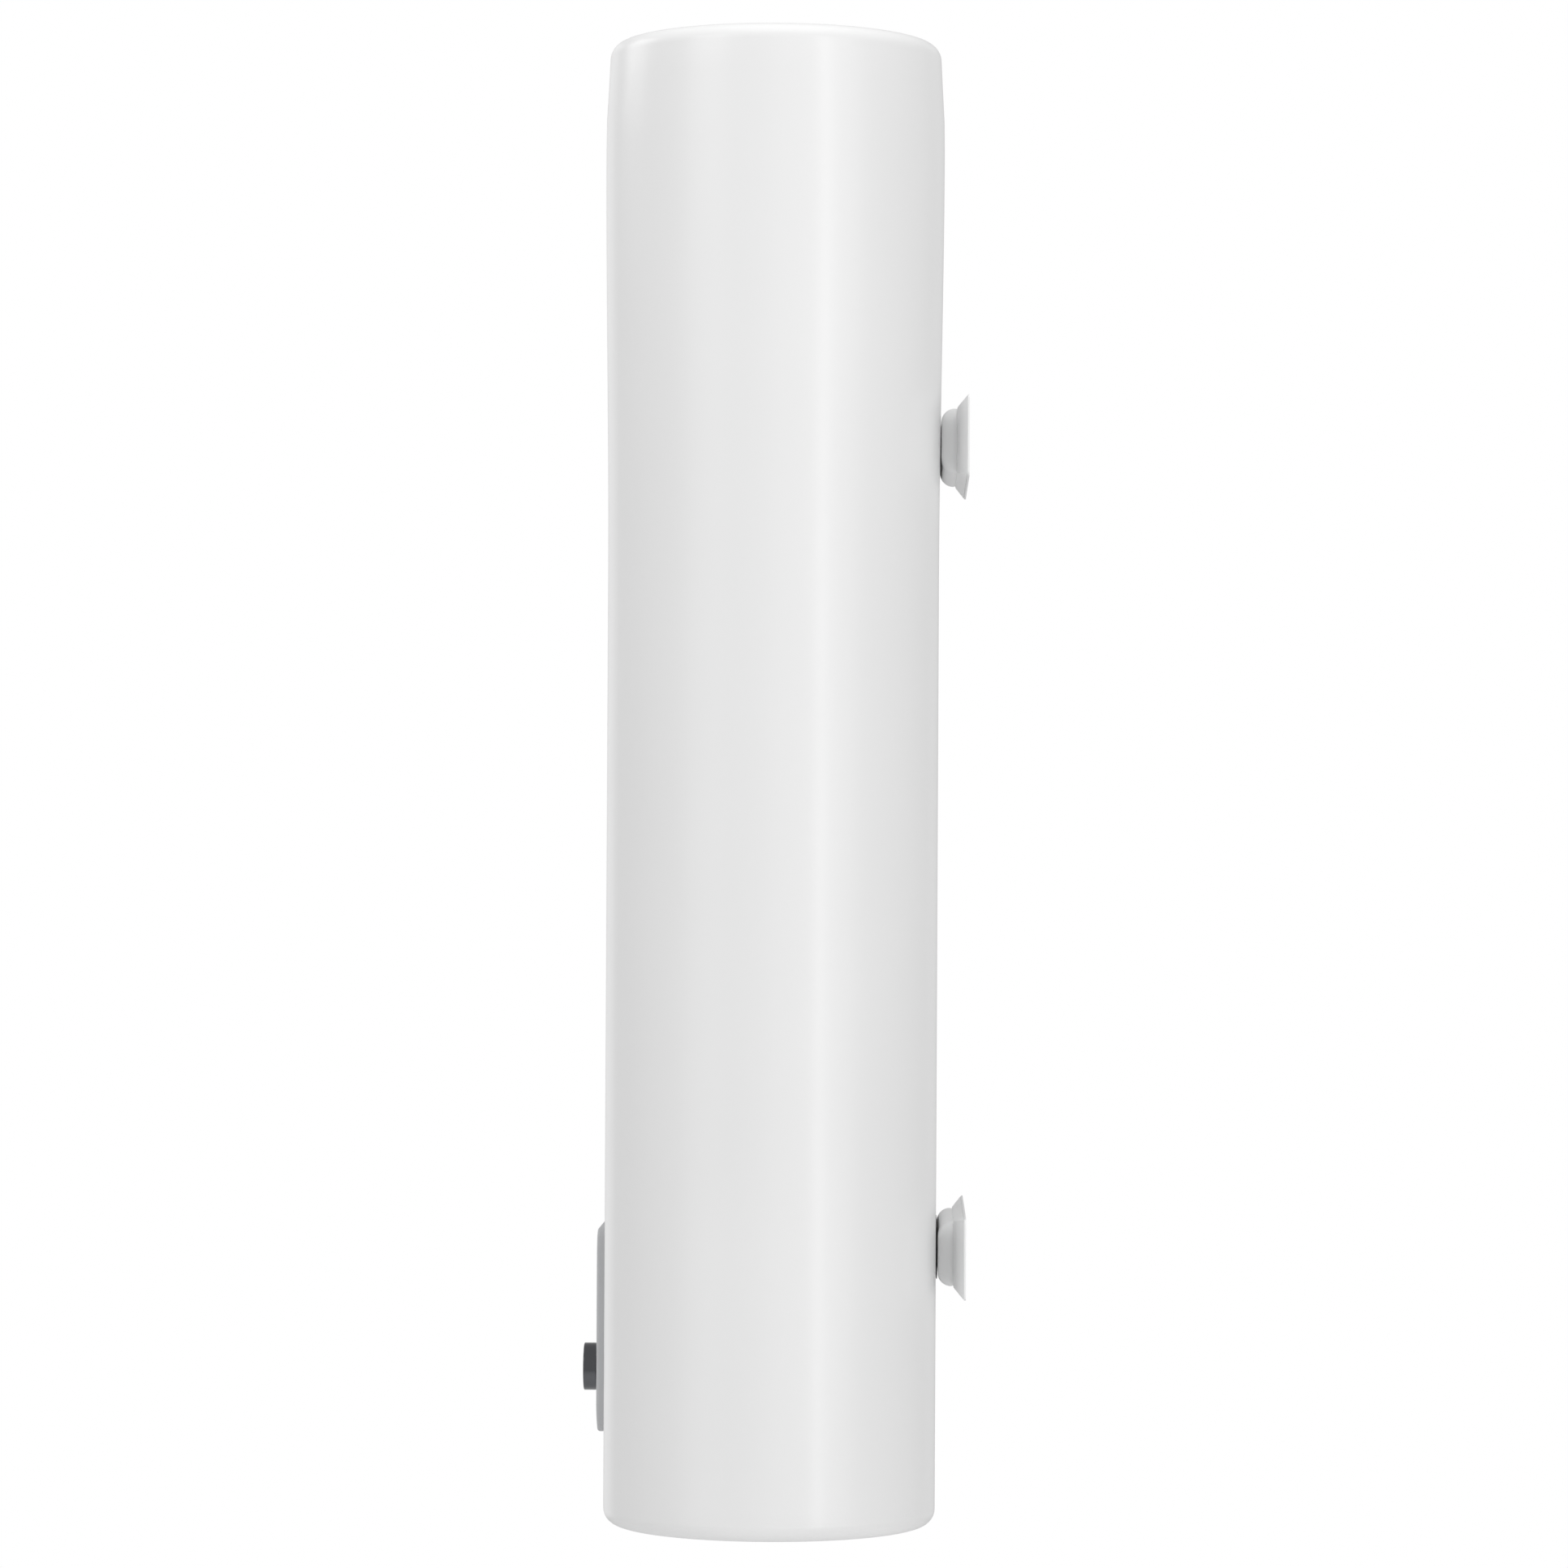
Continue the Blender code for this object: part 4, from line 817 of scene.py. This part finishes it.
def makeCoverScrew(node):
    # shank under a domed head with a cross driven into it: the head's height loses a smooth
    # step wherever the point lies inside one of the cross's two arms
    low, high = boxOf(node)
    centre = (low + high) / 2
    put = screwSet
    head, shank, radius, rim = put["headHigh"], put["shank"], put["headRadius"], put["rim"]
    reach = high[2] - low[2] - head
    outer = np.array([(0.0003, -reach), (shank * 0.8, -reach + 0.0006), (shank, -reach + 0.0012),
                      (shank, 0.0), (radius, 0.0), (radius, rim)])
    dome = np.linspace(1.0, 0.02, 16)
    crown = np.column_stack([radius * dome, rim + (head - rim) * np.sqrt(1 - dome ** 2 * 0.98)])

    def driveCross(r, z, angle):
        x, y = r * np.cos(angle), r * np.sin(angle)
        half, span = put["armHalf"], put["armLength"]
        arm = lambda across, along: (1 / (1 + np.exp((np.abs(across) - half) / 0.00006))
                                     / (1 + np.exp((np.abs(along) - span) / 0.00008)))
        sunk = np.maximum(arm(x, y), arm(y, x)) * put["crossDepth"]
        return r, np.where(z > rim + 0.0001, z - sunk, z)

    points = turnRound(np.vstack([outer, crown]), 56, driveCross)
    mesh = gridMesh(node + "_crosshead",
                    toFloor(points, (centre[0], centre[1], low[2] + head)),
                    lowCap=True, highCap=True)
    return addPiece(node + "_crosshead", mesh, "zinc_steel", node=node, smooth=40)


collarSet = {"bore": 0.0108, "rounding": 0.0005}


def makeCollar(side, finish):
    # moulded ring with a rounded outer edge, a step and a small lip round the pipe
    low, high = boxOf(side + "_collar")
    centre = (low + high) / 2
    bore, radius, height = collarSet["bore"], high[0] - centre[0], high[2] - low[2]
    profile = bend([(bore, 0.0), (radius, 0.0), (radius, height * 0.55),
                    (radius - 0.0012, height * 0.72), (bore + 0.0016, height * 0.72),
                    (bore + 0.0012, height), (bore, height)], collarSet["rounding"], 4)
    points = turnRound(profile, 64)
    mesh = gridMesh(side + "_ring", toFloor(points, (centre[0], centre[1], high[2])),
                    wrapRows=True)
    return addPiece(side + "_ring", mesh, finish, node=side + "_collar", smooth=40)


pipeSet = {
    "wall": 0.0022,
    "pitch": 0.0018,
    "threadDepth": 0.00105,
    "threaded": 0.024,
    "plain": 0.06,
    "chamfer": 0.0012,
    "boreChamfer": 0.0006,
}


def makePipe(side):
    # a tube whose outside loses a V thread at its lower end: depth * saw(height / pitch + turn),
    # fading out below the collar, with a chamfer at the end
    low, high = boxOf(side + "_pipe")
    centre = (low + high) / 2
    put = pipeSet
    radius, wall = (high[0] - low[0]) / 2, put["wall"]
    pitch, depth, threaded = put["pitch"], put["threadDepth"], put["threaded"]
    plain, broken = put["plain"], put["boreChamfer"]
    outerZ = np.concatenate([
        np.arange(0, threaded + 0.003, pitch / 8), [plain, high[2] - low[2]]])
    profile = np.vstack([
        np.column_stack([np.full(len(outerZ), radius), outerZ]),
        [(radius - wall, outerZ[-1]), (radius - wall, plain), (radius - wall, broken),
         (radius - wall + broken, 0.0)]])

    def cutThread(r, z, angle):
        outside = r > radius - wall / 2
        saw = np.abs(((z / pitch + angle / (2 * np.pi)) % 1.0) - 0.5) * 2
        fade = np.clip((threaded - z) / pitch, 0, 1)
        chamfer = np.clip(1 - z / put["chamfer"], 0, 1) * depth
        worn = np.maximum(depth * np.clip(saw * 1.25 - 0.15, 0, 1) * fade, chamfer)
        return np.where(outside, r - worn, r), z

    points = turnRound(profile, 72, cutThread)
    place = np.array((centre[0], centre[1], low[2]))
    mesh = gridMesh(side + "_threaded_pipe", points + place, wrapRows=True)
    return addPiece(side + "_threaded_pipe", mesh, "zinc_steel", node=side + "_pipe", smooth=24)


glandSet = {"bore": 0.0045, "body": 0.0095, "ribs": 24, "ribDepth": 0.00035}


def makeGland():
    # hexagon locknut, then the clamping nut: a hexagon at its foot that blends into a ribbed
    # dome, and the bore through it
    low, high = boxOf("cable_gland")
    centre = (low + high) / 2
    radius = high[0] - centre[0]
    flats = radius * math.cos(math.pi / 6)
    bore, body = glandSet["bore"], glandSet["body"]
    drop = capZ - low[2]
    up = high[2] - capZ
    profile = np.array([
        (body, -up), (body, -0.0002), (radius, 0.0), (radius, 0.0003), (radius, 0.0047),
        (radius - 0.0006, 0.0055), (body + 0.0004, 0.0056), (body + 0.0004, 0.0062),
        (body + 0.0016, 0.0066), (body + 0.0016, 0.0110), (body + 0.0009, 0.0120),
        (body, 0.0132), (body - 0.0012, 0.0148), (body - 0.0028, drop - 0.0002),
        (bore + 0.0008, drop), (bore, drop - 0.0008), (bore, -up)])

    def facet(r, z, angle):
        nut = (z >= 0.0) & (z < 0.0056) & (r > body + 0.001)
        cap = (z > 0.006) & (z < 0.0125) & (r > body + 0.0005)
        ribs = glandSet["ribDepth"] * (0.5 + 0.5 * np.cos(angle * glandSet["ribs"]))
        return np.where(nut, hexagon(r, angle, flats), np.where(cap, r - ribs, r)), z

    points = turnRound(profile, 96, facet)
    mesh = gridMesh("gland_nuts", toFloor(points, (centre[0], centre[1], capZ)), wrapRows=True)
    return addPiece("gland_nuts", mesh, "grey_plastic", node="cable_gland", smooth=30)


makeServiceCover()
for number in (1, 2, 3, 4):
    makeCoverScrew(f"cover_screw_{number}")
makeCollar("hot", "red_plastic")
makeCollar("cold", "blue_plastic")
makePipe("hot")
makePipe("cold")
makeGland()
print("stage: underside pieces made")


# ---- control panel and knob

panelSet = {
    "corner": 0.008,
    "lowCorner": 0.018,
    "side": 0.0075,
    "crown": 0.0025,
    "edge": 0.002,
    "flat": 0.047,
    "wall": 0.002,
    "windowCorner": 0.002,
    "gap": 0.0003,
    "skirt": 0.002,
    "softEdge": 0.0002,
}


def makeFascia():
    # the outline rises as a skirt and over a rounded edge; the face then runs to the window's
    # outline, its height top - crown * (1 - d / flat)^2 at a distance d from the outer edge
    put = panelSet
    low, high = panelLow, panelHigh
    halfX, halfZ = (high[0] - low[0]) / 2, (high[2] - low[2]) / 2
    holeX = windowHigh[0] + put["gap"]
    holeZ = (windowHigh[2] - windowLow[2]) / 2 + put["gap"]
    rise = windowZ - panelZ
    straightX = np.linspace(-1, 1, 26)[1:-1]
    straightZ = np.linspace(-1, 1, 42)[1:-1]
    upright = straightZ * (halfZ - put["lowCorner"])
    # the upper half of one outline and the lower half of another with rounder corners
    core, normal = roundedRing(halfX, halfZ, put["corner"], 12,
                               straightX * (halfX - put["corner"]), upright)
    lowCore = roundedRing(halfX, halfZ, put["lowCorner"], 12,
                          straightX * (halfX - put["lowCorner"]), upright)[0]
    upper = (core[:, 1:] > 0) & (lowCore[:, 1:] > 0)
    core = np.where(upper, core, lowCore)
    cornerSize = np.where(upper, put["corner"], put["lowCorner"])
    holeCore, holeNormal = roundedRing(holeX, holeZ, put["windowCorner"], 12,
                                       straightX * (holeX - put["windowCorner"]),
                                       straightZ * (holeZ - put["windowCorner"]))
    hole = holeCore + put["windowCorner"] * holeNormal + np.array([0, rise])
    top = put["side"] + put["crown"]

    def crownAt(points):
        nearest = np.where(points[:, 1] > 0, put["corner"], put["lowCorner"])
        reach = np.abs(points) - (np.array([halfX, halfZ]) - nearest[:, None])
        outside = np.linalg.norm(np.maximum(reach, 0), axis=-1)
        distance = nearest - outside - np.minimum(np.max(reach, -1), 0)
        left = np.clip(1 - distance / put["flat"], 0, None)
        return top - put["crown"] * left ** 2

    ring = lambda inset: core + (cornerSize - inset) * normal
    grids = [np.column_stack([ring(0), np.full(len(core), z)])
             for z in (put["gap"], put["skirt"], put["side"] - put["edge"])]
    rounding = np.linspace(0, np.pi / 2, 9)[1:]
    edgeTop = crownAt(ring(put["edge"]))
    for angle in rounding:
        inset = put["edge"] * (1 - np.cos(angle))
        z = put["side"] - put["edge"] + (edgeTop - put["side"] + put["edge"]) * np.sin(angle)
        grids.append(np.column_stack([ring(inset), z]))
    start = ring(put["edge"])
    for share in np.linspace(0, 1, 30)[1:-1] ** 0.9:
        flat = start + share * (hole - start)
        grids.append(np.column_stack([flat, crownAt(flat)]))
    soft = put["softEdge"]
    grids.append(np.column_stack([hole + soft * holeNormal, crownAt(hole)]))
    grids.append(np.column_stack([hole, crownAt(hole) - soft]))
    points = toFront(np.stack(grids), (0, frontY, panelZ))
    mesh = gridMesh("fascia", points)
    return addPiece("fascia", mesh, "grey_plastic", node="control_panel",
                    wall=put["wall"], smooth=40)


windowSet = {"corner": 0.0018, "edgeDrop": 0.0003, "edgeRun": 0.0001}


def makeWindow():
    # flat pane with a polished edge
    halfX, halfZ = windowHigh[0], (windowHigh[2] - windowLow[2]) / 2
    thick = windowHigh[1] - windowLow[1]
    corner, drop, run = windowSet["corner"], windowSet["edgeDrop"], windowSet["edgeRun"]
    core, normal = roundedRing(halfX, halfZ, corner, 6)
    insets = [0.0, 0.0, run, drop]
    heights = [0.0, thick - drop, thick - run, thick]
    points = liftRings([core + (corner - inset) * normal for inset in insets], heights)
    place = (0, windowHigh[1], windowZ)
    mesh = gridMesh("window_pane", toFront(points, place), lowCap=True, highCap=True)
    return addPiece("window_pane", mesh, "dark_plastic", node="display_window", smooth=40)


lampSet = {"dome": 0.0011}


def makeLamp(side):
    # short light pipe with a domed end
    low, high = boxOf(side + "_lamp")
    centre = (low + high) / 2
    radius, height = high[0] - centre[0], high[1] - low[1]
    t = np.linspace(0, 1, 9)[:-1] * np.pi / 2
    rise = lampSet["dome"]
    dome = np.column_stack([radius * np.cos(t), height - rise + rise * np.sin(t)])
    points = turnRound(np.vstack([[(radius, 0.0)], dome]), 40)
    mesh = gridMesh(side + "_light_pipe", toFront(points, (centre[0], high[1], centre[2])),
                    lowCap=True, highCap=True)
    return addPiece(side + "_light_pipe", mesh, "red_plastic", node=side + "_lamp", smooth=40)


knobSet = {
    "ringWall": 0.0028,
    "edge": 0.0008,
    "dome": 0.0011,
    "groove": 0.0012,
    "grooveLength": 0.007,
    "grooveDepth": 0.0011,
    "grooveSoft": 0.00012,
    "grooveInset": 0.0055,
    "offAngle": 45,
    "softEdge": 0.0002,
}


def makeKnobRing():
    # plated ring: a closed profile of outside, rounded face edge and inner wall, turned round
    low, high = boxOf("knob_ring")
    radius, height = high[0], high[1] - low[1]
    inner, edge, soft = radius - knobSet["ringWall"], knobSet["edge"], knobSet["softEdge"]
    t = np.linspace(0, np.pi / 2, 7)
    profile = np.vstack([
        [(inner, 0.0), (radius - soft, 0.0), (radius, soft)],
        np.column_stack([radius - edge + edge * np.cos(t), height - edge + edge * np.sin(t)]),
        [(inner + 0.0003, height), (inner, height - 0.0003)]])
    points = turnRound(profile, 144)
    mesh = gridMesh("knob_bezel", toFront(points, (0, high[1], knobZ)), wrapRows=True)
    return addPiece("knob_bezel", mesh, "chrome", body="knob", node="knob_ring", smooth=40)


def makeKnobCap():
    # shallow dome: height base + dome * (1 - (r / R)^2), less a groove where the point is within
    # half the groove's width of the pointer's line
    low, high = boxOf("knob_cap")
    radius, height = high[0], high[1] - low[1]
    put = knobSet
    off = math.radians(put["offAngle"])
    share = np.linspace(1, 0.01, 64)
    face = np.column_stack([radius * share, height - put["dome"] * share ** 2])
    profile = np.vstack([[(radius, 0.0), (radius, height - put["dome"] - 0.0004)], face[1:]])
    middle = radius - put["grooveInset"]

    def cutGroove(r, z, angle):
        x, y = r * np.cos(angle), r * np.sin(angle)
        along = -(x * math.sin(off) + y * math.cos(off)) - middle
        across = x * math.cos(off) - y * math.sin(off)
        soft = put["grooveSoft"]
        inside = (1 / (1 + np.exp((np.abs(across) - put["groove"] / 2) / soft))
                  / (1 + np.exp((np.abs(along) - put["grooveLength"] / 2) / soft)))
        return r, np.where(z > height - put["dome"] - 0.0003, z - put["grooveDepth"] * inside, z)

    points = turnRound(profile, 288, cutGroove)
    mesh = gridMesh("knob_dome", toFront(points, (0, high[1], knobZ)), lowCap=True, highCap=True)
    return addPiece("knob_dome", mesh, "white_plastic", body="knob", node="knob_cap", smooth=50)


buttonSet = {"edge": 0.0006, "dish": 0.0004, "dishShare": 0.75}


def makeResetButton():
    # small plunger with a dished tip: the dish's depth falls off as 1 - (r / R)^2
    low, high = boxOf("reset_button")
    centre = (low + high) / 2
    radius, height = high[0] - centre[0], high[2] - low[2]
    t = np.linspace(0, np.pi / 2, 6)
    edge, wide = buttonSet["edge"], buttonSet["dishShare"]
    tip = np.column_stack([radius - edge + edge * np.cos(t), height - edge + edge * np.sin(t)])
    dish = np.linspace(wide, 0.05, 8)
    bowl = np.column_stack([
        radius * dish, height - buttonSet["dish"] * (1 - dish ** 2 / wide ** 2)])
    points = turnRound(np.vstack([[(radius, 0.0)], tip, bowl]), 48)
    mesh = gridMesh("reset_plunger", toFloor(points, (centre[0], centre[1], high[2])),
                    lowCap=True, highCap=True)
    return addPiece("reset_plunger", mesh, "red_plastic", body="reset_button",
                    node="reset_button", smooth=40)


makeFascia()
makeWindow()
makeLamp("left")
makeLamp("right")
makeKnobRing()
makeKnobCap()
makeResetButton()
print("stage: control panel, knob and button made")

for part in frame["record"]["subparts"]:
    node = frame["nodes"][part["node"]]
    for place in node.material_slots:
        place.material = finishes[part["material_slot"]]
print("stage: finishes on the CAD nodes")


# ---- studio

studioSet = {
    "floorDrop": 1.15,
    "floorRadius": 5.5,
    "fadeStart": 1.2,
    "fadeEnd": 0.96,  # of the floor's radius
    "surround": 0.503,
    "distance": 3.6,
}

lightSet = {
    # name: (degrees round from the camera's side, height, (width, height), watts)
    "backFront": (-150, 0.2, (1.7, 3.4), 8.7),
    "leftKey": (-45, 0.2, (1.7, 3.4), 10.1),
    "middleKey": (12, 0.2, (1.7, 3.4), 8.8),
    "rightKey": (45, 0.2, (1.7, 3.4), 15.7),
    "strip": (33, 0.2, (0.3, 3.4), 15.2),
    "wallSide": (150, 0.2, (1.7, 3.4), 4.0),
    "highFront": (-110, 1.9, (1.7, 1.6), 19.1),
    "highLeft": (-45, 1.9, (1.7, 1.6), 13.6),
}
overheadSet = {"place": (0.5, 0.1, 2.4), "size": (1.8, 1.8), "watts": 23.4}


def makeFloor():
    # flat disc: radius and turn as the two parameters
    z = bodyBottom - studioSet["floorDrop"]
    share = np.linspace(1.0, 0.05, 12) * studioSet["floorRadius"]
    points = turnRound(np.column_stack([share, np.full(12, z)]), 96)
    mesh = gridMesh("floor", points, highCap=True)
    floor = bpy.data.objects.new("floor", mesh)
    bpy.context.scene.collection.objects.link(floor)
    material = bpy.data.materials.new("pale studio floor")
    material.use_nodes = True
    tree = material.node_tree
    surface = tree.nodes["Principled BSDF"]
    surface.inputs["Base Color"].default_value = toLinear("F4F4F4")
    surface.inputs["Roughness"].default_value = 0.7
    # it fades out towards its edge, and isn't seen from below
    place = addNode(tree, "ShaderNodeTexCoord").outputs["Object"]
    flat = addNode(tree, "ShaderNodeVectorMath", {"operation": "MULTIPLY", 1: (1, 1, 0)},
                   {0: place})
    away = addNode(tree, "ShaderNodeVectorMath", {"operation": "LENGTH"}, {0: flat.outputs[0]})
    fade = addNode(tree, "ShaderNodeMapRange",
                   {"From Min": studioSet["fadeStart"],
                    "From Max": studioSet["floorRadius"] * studioSet["fadeEnd"]},
                   {"Value": away.outputs["Value"]})
    under = addNode(tree, "ShaderNodeNewGeometry").outputs["Backfacing"]
    hidden = addNode(tree, "ShaderNodeMath", {"operation": "MAXIMUM"},
                     {0: fade.outputs[0], 1: under})
    clear = addNode(tree, "ShaderNodeBsdfTransparent")
    mixed = addNode(tree, "ShaderNodeMixShader", {},
                    {0: hidden.outputs[0], 1: surface.outputs[0], 2: clear.outputs[0]})
    tree.links.new(mixed.outputs[0], tree.nodes["Material Output"].inputs["Surface"])
    mesh.materials.append(material)


def makeLight(name, offset, size, watts, mirrored=True):
    lamp = bpy.data.lights.new(name, "AREA")
    lamp.shape = "RECTANGLE"
    lamp.size, lamp.size_y = size
    lamp.energy = watts
    light = bpy.data.objects.new(name, lamp)
    place = Vector(bodyMiddle) + Vector(offset)
    aim = (Vector(bodyMiddle) - place).to_track_quat("-Z", "Y").to_matrix().to_4x4()
    light.matrix_world = Matrix.Translation(place) @ aim
    light.visible_camera = False
    light.visible_glossy = mirrored
    bpy.context.scene.collection.objects.link(light)


def makeSurround():
    # white behind the object, and a softer white that lights it
    world = bpy.data.worlds.new("studio")
    bpy.context.scene.world = world
    world.use_nodes = True
    tree = world.node_tree
    tree.nodes.clear()
    seen = addNode(tree, "ShaderNodeLightPath")
    white = addNode(tree, "ShaderNodeBackground", {"Color": (1, 1, 1, 1), "Strength": 1.0})
    fill = addNode(tree, "ShaderNodeBackground",
                   {"Color": (1, 1, 1, 1), "Strength": studioSet["surround"]})
    mixed = addNode(tree, "ShaderNodeMixShader", {},
                    {0: seen.outputs["Is Camera Ray"], 1: fill.outputs[0], 2: white.outputs[0]})
    addNode(tree, "ShaderNodeOutputWorld", {}, {"Surface": mixed.outputs[0]})


def makeCamera():
    lens = bpy.data.cameras.new("camera")
    lens.lens = cameraSet["lens"]
    lens.sensor_width = 36
    lens.clip_end = 50
    pan, tilt, roll = cameraSet["pan"], cameraSet["tilt"], cameraSet["roll"]
    level = Vector((-math.cos(pan), math.sin(pan), 0))
    side = Vector((math.sin(pan), math.cos(pan), 0))
    ahead = level * math.cos(tilt) + Vector((0, 0, math.sin(tilt)))
    up = Vector((0, 0, math.cos(tilt))) - level * math.sin(tilt)
    right = side * math.cos(roll) + up * math.sin(roll)
    top = up * math.cos(roll) - side * math.sin(roll)
    place = Vector(bodyMiddle) + Vector(
        (cameraSet["distance"], cameraSet["beside"], -cameraSet["below"]))
    camera = bpy.data.objects.new("camera", lens)
    aim = Matrix((right, top, -ahead)).transposed().to_4x4()
    camera.matrix_world = Matrix.Translation(place) @ aim
    bpy.context.scene.collection.objects.link(camera)
    bpy.context.scene.camera = camera


makeFloor()
for lightName, (degrees, height, size, watts) in lightSet.items():
    turn = math.radians(degrees)
    reach = studioSet["distance"]
    around = (reach * math.cos(turn), reach * math.sin(turn), height)
    makeLight(lightName, around, size, watts)
makeLight("overhead", overheadSet["place"], overheadSet["size"], overheadSet["watts"],
          mirrored=False)
makeSurround()
makeCamera()
bpy.context.scene.view_settings.view_transform = "Standard"
print("stage: studio set up")
